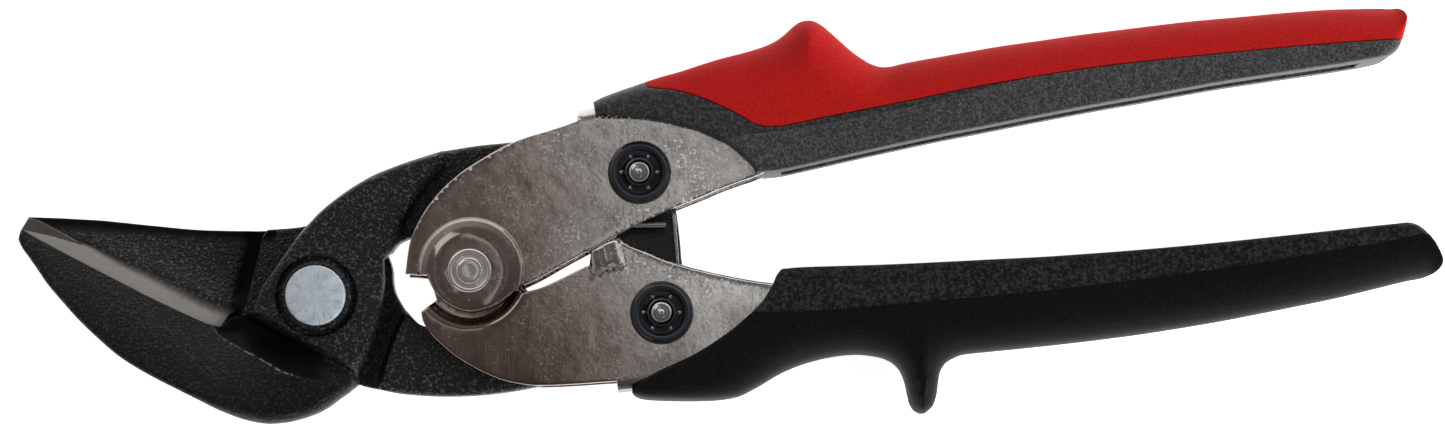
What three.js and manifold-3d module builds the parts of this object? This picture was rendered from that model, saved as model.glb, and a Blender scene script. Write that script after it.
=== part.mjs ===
// Aviation snips, lying flat. Millimetres, +Z up. The jaw pivot axis is the Z axis, the jaws
// point along -X and the handles along +X. The tool rests on the plane z = 0. Pieces are
// modelled with z = 0 on the shear plane between the blades, and the group lifts them.
// "Front" is +Z, "back" is -Z, "upper" is +Y and "lower" is -Y.
import * as THREE from 'three';
import { mergeVertices } from 'three/addons/utils/BufferGeometryUtils.js';
import Module from 'manifold-3d';

const wasm = await Module();
wasm.setup();

// ---- driving dimensions -------------------------------------------------------------------
const GAP = 0.3;                    // running gap between neighbouring pieces
const HALF_GAP = GAP / 2;           // each blade's distance from the shear plane
const FACE_CLEAR = 0.2;             // between the stacked faces on the jaw pivot
const BORE_CLEAR = 0.15;            // radial play of a loose part on its pin
const PIN_CLEAR = 0.1;              // radial play of the link pins in tails and cheeks
const JAW_PIVOT = [0, 0];
const UPPER_LINK = [58.66, 22.41];
const LOWER_LINK = [62.72, -3.08];
const HANDLE_PIVOT = [27.93, 4.45];
const CATCH = [76.0, 1.6];          // latch catch pin
const HUB_TOP = 6.5;                // front hub face
const HUB_BACK = -6.1;              // back hub face
const TAIL_HALF = 3.0;              // half thickness of both tails
const CHEEK_IN = 5.0;               // handle cheeks, inner face
const CHEEK_OUT = 7.0;              // handle cheeks, outer face
const GRIP_HALF = 10.5;             // half thickness of the grips
const SHEAR_Z = GRIP_HALF;          // shear plane over the resting plane
const BOLT_R = 3.9;
const PIN_R = 2.9;
const RIVET_R = 2.2;
const WIRE_R = 0.6;                 // opening spring and latch spring
const SPRING_Z = 3.95;              // distance of spring legs from the shear plane
const REACH = 12;                   // cutters to +-REACH pass through every piece

const MATERIALS = {
  coat: { color: 0x1c1c1d, roughness: 0.75, metalness: 0.35 },
  darkWasher: { color: 0x3a3b3c, roughness: 0.6, metalness: 0.6 },
  zincBolt: { color: 0xa9b4bd, roughness: 0.4, metalness: 0.9 },
  zinc: { color: 0xa9b4bd, roughness: 0.45, metalness: 0.9 },
  nickel: { color: 0xb9b6ae, roughness: 0.35, metalness: 0.95 },
  bush: { color: 0x6b675c, roughness: 0.5, metalness: 0.8 },
  linkPin: { color: 0x4a4c50, roughness: 0.35, metalness: 0.9 },
  retainer: { color: 0x121214, roughness: 0.3, metalness: 0.6 },
  spacer: { color: 0x8d8f90, roughness: 0.5, metalness: 0.8 },
  openingSpring: { color: 0xb8b8b6, roughness: 0.3, metalness: 1.0 },
  latch: { color: 0x2b2724, roughness: 0.5, metalness: 0.8 },
  latchSpring: { color: 0xc9c9c4, roughness: 0.25, metalness: 1.0 },
  catchPin: { color: 0x8d8f90, roughness: 0.4, metalness: 0.9 },
  redSkin: { color: 0xb02a25, roughness: 0.7, metalness: 0.0 },
  upperCore: { color: 0x37373a, roughness: 0.65, metalness: 0.0 },
  blackSkin: { color: 0x222224, roughness: 0.8, metalness: 0.0 },
  lowerCore: { color: 0x3a3a3d, roughness: 0.65, metalness: 0.0 },
};

// ---- solid helpers ------------------------------------------------------------------------
// Outlines are [x, y] points, turned profiles are [radius, z] points.
function solid(geometry) {
  const bare = geometry.clone();
  bare.deleteAttribute('normal');
  bare.deleteAttribute('uv');
  const merged = mergeVertices(bare, 1e-4);
  return new wasm.Manifold(new wasm.Mesh({
    numProp: 3,
    vertProperties: new Float32Array(merged.attributes.position.array),
    triVerts: new Uint32Array(merged.index.array),
  }));
}

function union(...parts) {
  return parts.reduce((sum, part) => sum.add(part));
}

function minus(body, ...tools) {
  return tools.reduce((rest, cutter) => rest.subtract(cutter), body);
}

function shapeOf(points) {
  return new THREE.Shape(points.map(([x, y]) => new THREE.Vector2(x, y)));
}

function plate(points, z0, z1) {
  const geometry = new THREE.ExtrudeGeometry(shapeOf(points), {
    depth: z1 - z0, bevelEnabled: false,
  });
  geometry.translate(0, 0, z0);
  return solid(geometry);
}

function throughPlate(points) {
  return plate(points, -REACH, REACH);
}

// drops outline points closer together than the chamfer needs
function thinned(points, least) {
  const kept = [];
  for (const point of points) {
    const last = kept[kept.length - 1];
    if (!last || Math.hypot(point[0] - last[0], point[1] - last[1]) > least) kept.push(point);
  }
  return kept;
}

// plate with both rims chamfered inward
function chamfered(points, z0, z1, { inset, depth }) {
  const geometry = new THREE.ExtrudeGeometry(shapeOf(thinned(points, inset)), {
    depth: z1 - z0 - 2 * depth, bevelEnabled: true,
    bevelThickness: depth, bevelSize: inset, bevelOffset: -inset, bevelSegments: 1,
  });
  geometry.translate(0, 0, z0 + depth);
  return solid(geometry);
}

function tiltedBox(size, position, rotation) {
  const geometry = new THREE.BoxGeometry(...size);
  const turn = new THREE.Euler(...rotation);
  geometry.applyMatrix4(new THREE.Matrix4().makeRotationFromEuler(turn));
  geometry.translate(...position);
  return solid(geometry);
}

function box(x0, x1, y0, y1, z0, z1) {
  const middle = [(x0 + x1) / 2, (y0 + y1) / 2, (z0 + z1) / 2];
  return tiltedBox([x1 - x0, y1 - y0, z1 - z0], middle, [0, 0, 0]);
}

function disc([x, y], radius, z0, z1, segments) {
  const geometry = new THREE.CylinderGeometry(radius, radius, z1 - z0, segments);
  geometry.rotateX(Math.PI / 2);
  geometry.translate(x, y, (z0 + z1) / 2);
  return solid(geometry);
}

function throughDisc(center, radius, segments = 24) {
  return disc(center, radius, -REACH, REACH, segments);
}

// piece turned round a vertical axis; the profile runs upward along its outside
function turned([x, y], profile, segments = 28) {
  const points = profile.map(([radius, z]) => new THREE.Vector2(radius, z));
  const geometry = new THREE.LatheGeometry(points, segments);
  geometry.rotateX(Math.PI / 2);
  geometry.translate(x, y, 0);
  return solid(geometry);
}

// turned piece with a hole: the profile is closed back onto its start
function ring(center, profile, segments) {
  return turned(center, [...profile, profile[0]], segments);
}

function collar(center, inner, outer, z0, z1, segments) {
  return ring(center, [[inner, z0], [outer, z0], [outer, z1], [inner, z1]], segments);
}

function polygon(radius, sides, start = 0) {
  return Array.from({ length: sides }, (_, i) => {
    const angle = start + (i / sides) * Math.PI * 2;
    return [radius * Math.cos(angle), radius * Math.sin(angle)];
  });
}

// spring wire swept along a smooth path of [x, y, z] points
function wire(path, steps, sides) {
  const points = path.map((point) => new THREE.Vector3(...point));
  const curve = new THREE.CatmullRomCurve3(points, false, 'catmullrom', 0.5);
  return solid(new THREE.ExtrudeGeometry(shapeOf(polygon(WIRE_R, sides)), {
    steps, extrudePath: curve, bevelEnabled: false,
  }));
}

const tool = new THREE.Group();
tool.name = 'snips';
tool.position.z = SHEAR_Z;

function piece(name, body, material) {
  const { vertProperties, triVerts } = body.getMesh();
  const indexed = new THREE.BufferGeometry();
  const positions = new Float32Array(vertProperties);
  indexed.setAttribute('position', new THREE.BufferAttribute(positions, 3));
  indexed.setIndex(new THREE.BufferAttribute(new Uint32Array(triVerts), 1));
  const geometry = indexed.toNonIndexed();
  geometry.computeVertexNormals();
  const surface = new THREE.MeshStandardMaterial({ ...material, flatShading: true });
  const mesh = new THREE.Mesh(geometry, surface);
  mesh.name = name;
  tool.add(mesh);
}

// ---- blade cutters --------------------------------------------------------------------------
const bladeSide = (z0, z1) => box(-80, 80, -60, 60, z0, z1);
const boltHole = throughDisc(JAW_PIVOT, BOLT_R + BORE_CLEAR);
// block tilted about Y that thins a jaw towards its tip
const jawTaper = (z, tilt) => tiltedBox([90, 80, 10], [-46.5, 0, z], [0, tilt, 0]);

// ---- front blade: lower jaw, hub, upper tail ------------------------------------------------
// raised hub round the jaw pivot, running out to the shoulder line
const HUB_F = [
  [-11.9, -2.96], [-10.12, 1.64], [-8.36, 4.18], [-6.8, 6.49], [-4.76, 9.27], [-3.27, 11.32],
  [-1.71, 13.08], [0.72, 15.63], [4.36, 18.53], [7.99, 20.9], [11.62, 22.71], [15.26, 24.17],
  [18.89, 25.26], [22.52, 26.16], [22.43, 25.15], [21.9, 24.22], [18.78, 20.46], [15.65, 15.45],
  [13.44, 10.18], [12.09, 6.73], [12.22, 2], [11.26, -3.63], [9.41, -9.57], [7.52, -13.98],
  [1.81, -10.84], [-3.27, -7.81], [-8.36, -4.99],
];
// flat tail from the hub out to the upper link eye
const TAIL_F = [
  [9.92, 6.38], [12.29, 6.38], [13.38, 8.2], [14.66, 9.84], [16.85, 10.94], [19.59, 12.58],
  [24.14, 13.77], [29.62, 14.22], [36.91, 14.59], [44.21, 14.95], [51.5, 15.32], [57.34, 14.93],
  [59.54, 14.86], [61.67, 15.43], [63.55, 16.59], [65.01, 18.23], [65.94, 20.23], [66.26, 22.41],
  [65.94, 24.59], [65.01, 26.59], [63.55, 28.23], [61.67, 29.39], [59.54, 29.96], [57.34, 29.89],
  [51.5, 29.72], [44.21, 28.99], [36.91, 28.45], [33.26, 28.08], [29.62, 27.72], [25.97, 27.17],
  [22.32, 26.44], [18.67, 25.53], [15.03, 24.43], [11.38, 22.98], [7.73, 21.15], [5, 17.69],
];
// crescent lower jaw: cutting edge first, then the ridge, then the belly
const JAW_F = [
  [-54.18, 12.03], [-53.84, 12.23], [-50.63, 10.36], [-47.35, 8.6], [-43.33, 6.51], [-39.69, 4.59],
  [-35.13, 2.26], [-30.38, -0.15], [-25.1, -2.67], [-20.17, -4.89], [-19.53, -5.66],
  [-18.38, -7.12], [-16.34, -8.21], [-13.79, -9.6], [-9.96, -11.57], [-6.86, -13.41],
  [-3.58, -14.59], [0.44, -15.69], [5, -16.42], [7.73, -16.05], [5.91, -17.51], [4.08, -18.79],
  [2.26, -20.16], [0.44, -21.16], [-1.39, -21.89], [-3.21, -22.44], [-5.03, -22.85],
  [-6.86, -23.07], [-8.68, -23.16], [-10.51, -22.98], [-12.33, -22.62], [-14.15, -22.07],
  [-17.8, -20.61], [-21.45, -18.79], [-25.1, -16.96], [-28.74, -15.14], [-32.39, -13.13],
  [-36.04, -10.76], [-39.69, -7.66], [-43.33, -4.2], [-46.98, -0.19], [-49.17, 2.37],
  [-51.36, 5.47], [-52.82, 7.47], [-53.91, 8.93], [-54.64, 10.39],
];
// thin web in the groove between jaw and hub
const WEB_F = [
  [-20.28, -4.85], [-18.49, -7.07], [-13.89, -9.56], [-6.95, -13.37], [0.35, -16.02],
  [4.92, -16.93], [8.02, -15.84], [7.18, -13.83], [9.08, -9.39], [4.01, -5.98], [-6.95, -0.5],
  [-11.33, -0.14], [-12.33, -2.75], [-14.07, -2.51], [-16.99, -4.34],
];
const WEB_TOP = 2.8;
const HUB_CLEAR_R = 15.4;           // the tail keeps this far from the pivot beside the rear hub
const RECESS_R = 7.5;               // washer recess in the hub face
const RECESS_FLOOR = HUB_TOP - 1.0;

function frontBlade() {
  const behind = bladeSide(-REACH, HALF_GAP);
  const hub = minus(chamfered(HUB_F, -1, HUB_TOP, { inset: 0.7, depth: 0.8 }), behind);
  const tail = minus(plate(TAIL_F, -TAIL_HALF, TAIL_HALF),
    disc(JAW_PIVOT, HUB_CLEAR_R, -5, HALF_GAP, 30),
    throughDisc(UPPER_LINK, PIN_R + PIN_CLEAR));
  const jaw = minus(chamfered(JAW_F, -1.6, 7.6, { inset: 0.44, depth: 0.7 }),
    behind, jawTaper(9.3, -0.09));
  const web = plate(WEB_F, HALF_GAP, WEB_TOP);
  return minus(union(jaw, hub, web, tail), boltHole,
    disc(JAW_PIVOT, RECESS_R, RECESS_FLOOR, 9, 28));
}
piece('front_blade', frontBlade(), MATERIALS.coat);

// ---- jaw pivot: washer, headed bolt, back washer, lock nut ----------------------------------
const WASHER_BORE_R = 4.2;
const FRONT_WASHER_TOP = 6.9;
const BACK_WASHER_BACK = -7.4;

function frontWasher() {
  const bottom = RECESS_FLOOR + GAP;
  return ring(JAW_PIVOT, [
    [WASHER_BORE_R, bottom], [6.4, bottom], [6.4, FRONT_WASHER_TOP - 0.2],
    [6.2, FRONT_WASHER_TOP], [WASHER_BORE_R, FRONT_WASHER_TOP],
  ]);
}

function pivotBolt() {
  const chamfer = 0.3;
  const headBase = FRONT_WASHER_TOP + FACE_CLEAR;
  return turned(JAW_PIVOT, [
    [0, -GRIP_HALF], [BOLT_R - chamfer, -GRIP_HALF], [BOLT_R, -GRIP_HALF + chamfer],
    [BOLT_R, headBase], [5.2, headBase], [5.45, 7.35], [5.45, 8.9], [5.1, 9.3], [0, 9.3],
  ]);
}

function pivotNut() {
  const hexagon = polygon(6.6, 6, Math.PI / 6);
  const front = BACK_WASHER_BACK - FACE_CLEAR;
  return minus(chamfered(hexagon, -GRIP_HALF, front, { inset: 0.35, depth: 0.3 }), boltHole);
}
piece('pivot_washer_front', frontWasher(), MATERIALS.darkWasher);
piece('pivot_bolt', pivotBolt(), MATERIALS.zincBolt);
piece('pivot_washer_back',
  collar(JAW_PIVOT, WASHER_BORE_R, 8.0, BACK_WASHER_BACK, HUB_BACK - FACE_CLEAR),
  MATERIALS.zinc);
piece('pivot_nut', pivotNut(), MATERIALS.zinc);

// ---- rear blade: upper jaw, hub, lower tail -------------------------------------------------
const JAW_R = [
  [-54.7, 12.22], [-53.24, 14.78], [-47.38, 14.6], [-43.72, 14.42], [-40.07, 14.23],
  [-36.41, 13.87], [-32.75, 13.5], [-29.09, 13.14], [-25.43, 12.77], [-21.77, 12.51],
  [-18.11, 12.4], [-14.45, 12.35], [-10.42, 12.4], [-3.47, 10.57], [-3.47, -4.06], [-11.52, -3.33],
  [-14.45, -2.33], [-17.01, -4.06], [-18.47, -5.44], [-19.57, -5.99], [-20.85, -5.8],
  [-25.43, -3.7], [-30.73, -1.19], [-35.49, 1.24], [-40.07, 3.58], [-43.72, 5.52], [-47.75, 7.65],
  [-51.04, 9.39], [-54.34, 11.31],
];
// hub behind the front blade
const HUB_R = [
  [-10.42, 12.4], [-7.13, 12.59], [-3.47, 12.95], [0.19, 13.69], [4.77, 13.5], [8.61, 11.67],
  [11.72, 8.93], [13.18, 5.82], [13.55, 2.34], [14.1, 0.51], [15.56, -2.05], [14.1, -5.89],
  [12.63, -9.92], [11.17, -16.87], [7.51, -15.96], [4.77, -14.49], [2.02, -12.48], [-5.3, -7.91],
  [-11.15, -4.25], [-12.62, -0.4], [-11.89, 6.55],
];
// flat tail out to the lower link eye, starting at its stop wall
const TAIL_R = [
  [10.94, -16.84], [14.96, -17.66], [18.61, -18.03], [22.26, -18.21], [25.92, -18.21],
  [29.57, -18.03], [33.22, -17.66], [36.87, -17.12], [40.52, -16.39], [46, -14.83],
  [51.48, -12.73], [61.44, -10.37], [63.69, -10.42], [65.85, -9.79], [67.72, -8.54],
  [69.13, -6.78], [69.94, -4.68], [70.09, -2.44], [69.56, -0.25], [68.39, 1.68], [66.7, 3.16],
  [64.64, 4.07], [62.4, 4.31], [60.19, 3.87], [51.5, 1.46], [44.21, -1.19], [36.91, -3.47],
  [31.44, -4.75], [26.88, -5.47], [23.23, -5.66], [18.86, -5.11], [15.76, -2.19], [13.75, -6.75],
  [12.29, -10.76],
];
// shallow hollow behind the ground cutting strip
const HOLLOW_R = [
  [-50.5, 14.0], [-46, 12.6], [-40, 9.2], [-33, 5.8], [-26, 2.6], [-19.5, -0.4], [-15, -0.6],
  [-14.6, 6], [-16, 11.9], [-24, 12.2], [-34, 13.2], [-44, 14.0],
];
const HOLLOW_FLOOR = -1.0;

function rearBlade() {
  const jaw = minus(chamfered(JAW_R, HUB_BACK, 1.0, { inset: 0.8, depth: 1.0 }),
    bladeSide(-HALF_GAP, REACH), jawTaper(-8.6, 0.08));
  const hub = plate(HUB_R, HUB_BACK, -HALF_GAP);
  const tail = minus(plate(TAIL_R, -TAIL_HALF, TAIL_HALF),
    throughDisc(LOWER_LINK, PIN_R + PIN_CLEAR));
  return minus(union(jaw, hub, tail), plate(HOLLOW_R, HOLLOW_FLOOR, 1), boltHole);
}
piece('rear_blade', rearBlade(), MATERIALS.coat);

// ---- handle frames --------------------------------------------------------------------------
// Each frame is two side cheeks joined by a spine along the outer edge.
const SPINE_EDGE_U = [
  [47.24, 31.84], [47.42, 33.93], [51.6, 34.48], [58.86, 35.2], [69.76, 36.11], [80.65, 37.2],
];
const SPINE_U = [
  ...SPINE_EDGE_U,
  [80.65, 35.1], [69.9, 34.1], [59.1, 33.2], [51.9, 32.4], [49.5, 32.1],
];
// upper cheek, round from the left corner, over the top and back along the lower edge
const CHEEK_U = [
  [16.2, 3.97], [16.74, 8.33], [17.29, 10.69], [18.56, 13.6], [20.55, 16.77], [23.28, 19.95],
  [26.18, 22.4], [29.36, 24.49], [32.54, 26.36], [35.62, 27.94], [38.71, 29.08], [41.89, 30.01],
  [44.7, 30.94], ...SPINE_EDGE_U, [96.99, 38.83], [124.22, 41.74], [160.54, 46.46],
  [184.14, 48.46], [184.86, 43.37], [160.54, 39.2], [124.22, 32.66], [96.99, 27.03],
  [86.1, 24.67], [81.56, 22.58], [79.2, 21.59], [77.02, 20.86], [73.39, 19.5], [69.76, 17.95],
  [66.12, 16.5], [62.49, 14.96], [58.86, 13.23], [55.23, 11.33], [51.6, 9.42], [47.97, 7.52],
  [44.34, 5.52], [40.71, 3.43], [36.6, 1.4], [27.9, 3.6], [20.19, 3.67],
];
const SPINE_EDGE_L = [
  [80.65, -12.73], [73.39, -15.45], [67.94, -16.72], [58.86, -17.27], [54.87, -17.54],
];
const SPINE_L = [
  ...SPINE_EDGE_L, [54.6, -15.5], [58.8, -15.2], [67.6, -14.7], [72.9, -13.5], [80.0, -10.9],
];
// lower cheek, along the upper edge and back along the lower one
const CHEEK_L = [
  [19.1, -2.92], [27.9, 0], [36.6, 0.45], [40.71, 1.43], [44.34, 3.07], [47.97, 4.79], [49.6, 5.6],
  [49.9, 7.7], [52.4, 9.3], [55.05, 10.78], [55.59, 10.06], [57.41, 9.06], [59.95, 8.06],
  [62.67, 6.88], [65.4, 5.97], [68.3, 5.15], [73.39, 3.97], [77.93, 3.07], [81.56, 2.52],
  [87.91, 1.8], [106.07, 2.16], [124.22, 3.25], [160.54, 5.97], [191.4, 9.6], [192.85, 5.43],
  [160.54, -1.65], [124.22, -6.56], [106.07, -7.64], [96.99, -8.37], [87.91, -10.19],
  ...SPINE_EDGE_L, [54.5, -15.54], [51.6, -15.72], [47.79, -16], [41.8, -16.27],
  [38.71, -16.18], [34.17, -15.34], [29.72, -13.53], [25.2, -10.82], [22.19, -8.26],
  [20.73, -6.74], [19.46, -4.65],
];
// Dished bosses round the handle pivot: the upper ones are pressed outward and ride over
// the lower ones, which are pressed inward.
const BOSS_U = [
  [RIVET_R + 0.25, CHEEK_OUT], [7.2, CHEEK_OUT], [7.8, 6.3], [9.6, 6.3], [10.6, CHEEK_IN],
  [11.3, CHEEK_IN], [11.3, CHEEK_OUT], [10.4, CHEEK_OUT], [9.2, 8.3], [8.3, 8.3], [7.3, 9.0],
  [RIVET_R + 0.25, 9.0],
];
const BOSS_L = [
  [RIVET_R + 0.6, 3.9], [9.9, 3.9], [11.3, CHEEK_IN], [12.1, CHEEK_IN], [12.1, CHEEK_OUT],
  [11.0, CHEEK_OUT], [9.9, 5.9], [RIVET_R + 0.6, 5.9],
];
const CHEEK_END = 150;              // cheeks stop here, well inside the grips

// front cheek; the boss fills a hole in the sheet and may overhang its edge as far as freeR
function cheek(points, boss, { holeR, freeR }) {
  const sheet = minus(plate(points, CHEEK_IN, CHEEK_OUT), throughDisc(HANDLE_PIVOT, holeR, 30));
  const allowed = union(throughPlate(points), throughDisc(HANDLE_PIVOT, freeR, 30));
  const dish = ring(HANDLE_PIVOT, boss, 30).intersect(allowed);
  return minus(union(sheet, dish), box(CHEEK_END, 260, -60, 90, -REACH, REACH));
}

// half-round bulge on the upper edge of the lower cheek, clear of the upper cheek
function bulge() {
  const geometry = new THREE.CylinderGeometry(2.6, 2.6, 5.2, 14);
  geometry.translate(52.9, 7.6, 6.3);
  const upperCheek = CHEEK_U.map(([x, y]) => [x + 0.2, y - 0.35]);
  return minus(solid(geometry).intersect(box(49, 58, 4, 12, CHEEK_IN, 9)),
    throughPlate(upperCheek));
}

function frame(frontSide, spine, link) {
  const sides = union(frontSide, frontSide.mirror([0, 0, 1]));
  return minus(union(sides, plate(spine, -CHEEK_OUT, CHEEK_OUT)),
    throughDisc(link, PIN_R + PIN_CLEAR));
}
const upperCheek = cheek(CHEEK_U, BOSS_U, { holeR: 11.0, freeR: 9.4 });
const lowerCheek = union(cheek(CHEEK_L, BOSS_L, { holeR: 11.6, freeR: 9.2 }), bulge());
piece('upper_handle_frame', frame(upperCheek, SPINE_U, UPPER_LINK), MATERIALS.nickel);
piece('lower_handle_frame', frame(lowerCheek, SPINE_L, LOWER_LINK), MATERIALS.nickel);

// ---- handle pivot ---------------------------------------------------------------------------
const RIVET = [
  [0, -10.2], [3.2, -10.2], [4.0, -9.8], [4.0, -9.3], [RIVET_R, -9.3], [RIVET_R, 9.3],
  [4.0, 9.3], [4.0, 9.8], [3.6, 10.2], [2.5, 10.2], [2.1, 9.8], [0, 9.8],
];
piece('handle_pivot_rivet', turned(HANDLE_PIVOT, RIVET), MATERIALS.nickel);
piece('handle_pivot_bush', collar(HANDLE_PIVOT, RIVET_R + BORE_CLEAR, 3.1, -3.5, 3.5, 24),
  MATERIALS.bush);

// ---- link pins, retainers, spacers ----------------------------------------------------------
// what lies between a tail and a cheek
const SPACER_IN = TAIL_HALF + GAP;
const SPACER_OUT = CHEEK_IN - GAP;
// head at the back, thin neck at the front
const LINK_PIN = [
  [0, -9.4], [4.4, -9.4], [5.2, -8.7], [5.2, -CHEEK_OUT - GAP], [PIN_R, -CHEEK_OUT - GAP],
  [PIN_R, 7.1], [1.9, 7.1], [1.9, 9.3], [1.4, 9.8], [0, 10.0],
];
const RETAINER = [
  [2.15, 8.2], [2.5, 8.1], [3.6, 7.8], [5.3, CHEEK_OUT + GAP], [5.7, CHEEK_OUT + GAP],
  [5.7, 7.7], [5.2, 8.2], [3.6, 8.9], [2.6, 9.4], [2.15, 9.3],
];

// domed ring with six radial slots round its bore
function retainer(center) {
  const slots = polygon(2.6, 6).map(([x, y], i) => tiltedBox(
    [1.9, 0.55, 4], [center[0] + x, center[1] + y, 8.6], [0, 0, (i * Math.PI) / 3]));
  return minus(ring(center, RETAINER, 24), ...slots);
}

function spacer(center, z0, z1) {
  return collar(center, PIN_R + BORE_CLEAR, 4.2, z0, z1, 20);
}
piece('upper_link_pin', turned(UPPER_LINK, LINK_PIN, 20), MATERIALS.linkPin);
piece('upper_link_retainer', retainer(UPPER_LINK), MATERIALS.retainer);
piece('upper_link_spacer', spacer(UPPER_LINK, SPACER_IN, SPACER_OUT), MATERIALS.spacer);
piece('lower_link_pin', turned(LOWER_LINK, LINK_PIN, 20), MATERIALS.linkPin);
piece('lower_link_retainer', retainer(LOWER_LINK), MATERIALS.retainer);
piece('lower_link_spacer_front', spacer(LOWER_LINK, SPACER_IN, SPACER_OUT), MATERIALS.spacer);
piece('lower_link_spacer_back', spacer(LOWER_LINK, -SPACER_OUT, -SPACER_IN), MATERIALS.spacer);

// ---- opening spring, split at mid-coil, one half on each handle -----------------------------
// legs from the coil out to each handle, [x, y, z]
const LEG_U = [
  [34.3, 4.45, 2.5], [36.5, 6.8, 2.9], [39, 9.4, 3.6], [41.2, 12.2, SPRING_Z],
  [45.6, 20, SPRING_Z], [50, 29.6, SPRING_Z],
];
const LEG_L = [
  [34.3, 4.45, -2.5], [36.5, 2.1, -2.9], [39, -0.5, -3.6], [41.2, -3.0, -SPRING_Z],
  [46, -7.2, -SPRING_Z], [56.5, -14.3, -SPRING_Z],
];

// side is 1 for the front half, -1 for the back half, which winds the other way
function springHalf(side, leg) {
  const coilR = 4.5;
  const turns = 1.4;
  const steps = 18;
  const innerZ = 0.75;
  const rise = 1.6;
  const leaveAngle = -side * Math.PI / 4;
  const coil = [];
  for (let i = 0; i <= steps; i++) {
    const angle = leaveAngle - side * (1 - i / steps) * turns * Math.PI * 2;
    coil.push([
      HANDLE_PIVOT[0] + coilR * Math.cos(angle),
      HANDLE_PIVOT[1] + coilR * Math.sin(angle),
      side * (innerZ + rise * (i / steps)),
    ]);
  }
  return wire([...coil, ...leg], 46, 5);
}
piece('opening_spring_upper', springHalf(1, LEG_U), MATERIALS.openingSpring);
piece('opening_spring_lower', springHalf(-1, LEG_L), MATERIALS.openingSpring);

// ---- latch: hooked plate with a flange folded forward, its spring and catch pin -------------
const LATCH = [
  [54.2, 24.9], [53.2, 21.2], [54.0, 17.0], [54.4, 12.5], [55.4, 9.2], [58.0, 7.2], [61.6, 5.9],
  [64.0, 4.4], [66.3, 2.5], [67.15, -1.62], [68.1, -3.6], [73.2, -4.4], [73.66, -2.66],
  [70.7, -2.19], [71.23, 1.18], [69.6, 3.4], [67.4, 4.6], [66.4, 6.2], [66.0, 10.0],
  [65.5, 14.4], [64.6, 20.0], [63.8, 25.6], [60.8, 28.2], [57.0, 28.0],
];
const LATCH_FLANGE = [[65.2, 14.8], [64.2, 14.7], [64.9, 6.1], [65.9, 6.2]];
const LATCH_WIRE = [
  [50.4, 26.6], [50.6, 22], [51.2, 16.5], [52.6, 13.6], [55.2, 13.1], [59, 13.1], [63.3, 13.1],
];
const CATCH_R = 1.25;
const CATCH_HALF = 4.75;            // half length of the catch pin

function latch() {
  const sheet = plate(LATCH, -SPACER_OUT, -SPACER_IN);
  const flange = plate(LATCH_FLANGE, -SPACER_OUT, 4.4);
  return minus(union(sheet, flange), throughDisc(UPPER_LINK, PIN_R + BORE_CLEAR));
}
piece('latch', latch(), MATERIALS.latch);
piece('latch_spring', wire(LATCH_WIRE.map(([x, y]) => [x, y, SPRING_Z]), 26, 8),
  MATERIALS.latchSpring);
piece('latch_catch_pin', turned(CATCH, [
  [0, -CATCH_HALF], [CATCH_R, -CATCH_HALF], [CATCH_R, CATCH_HALF], [0, CATCH_HALF],
], 16), MATERIALS.catchPin);

// ---- grips: hard core and soft skin, split along a border line ------------------------------
const GRIP_U = [
  [50.22, 35.19], [51.5, 35.92], [55.15, 37.38], [58.8, 38.66], [62.44, 39.94], [66.09, 41.03],
  [69.74, 42.31], [73.39, 43.49], [77.03, 44.5], [80.68, 45.59], [82.87, 46.5], [84.69, 47.69],
  [86.15, 49.05], [87.43, 50.09], [88.89, 50.6], [90.35, 50.51], [91.8, 49.78], [93.45, 48.42],
  [95.27, 46.78], [97.09, 45.13], [98.92, 43.77], [100.74, 42.67], [102.56, 42.07],
  [104.39, 42.12], [106.21, 42.58], [109.86, 43.31], [113.51, 43.95], [117.15, 44.6],
  [124.45, 45.86], [131.74, 46.9], [139.04, 47.96], [146.33, 48.87], [153.63, 49.78],
  [160.92, 50.6], [168.22, 51.24], [175.51, 51.92], [182.81, 52.48], [188.28, 52.7],
  [195.94, 52.7], [197.4, 52.25], [198.22, 51.24], [198.31, 50.15], [197.95, 48.51],
  [197.4, 46.68], [196.67, 45.04], [195.7, 44.05], [193.81, 43.44], [187.9, 42.33],
  [180.51, 41.22], [173.12, 40.12], [165.74, 39.01], [158.35, 37.71], [150.96, 36.33],
  [143.57, 35.04], [136.18, 33.65], [128.79, 32.21], [121.41, 30.73], [114.02, 29.31],
  [106.63, 27.74], [99.24, 26.1], [91.85, 24.42], [84.46, 22.79], [81.2, 22.45], [80.3, 22.3],
  [79.91, 21.98], [79.18, 23.61], [77.45, 25.28], [74.91, 27.45], [72.3, 28.72], [69.76, 29.86],
  [67.23, 30.62], [63.42, 31.51], [59.62, 32.2], [55.82, 32.67], [52.74, 32.91], [50.56, 33.58],
];
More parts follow.
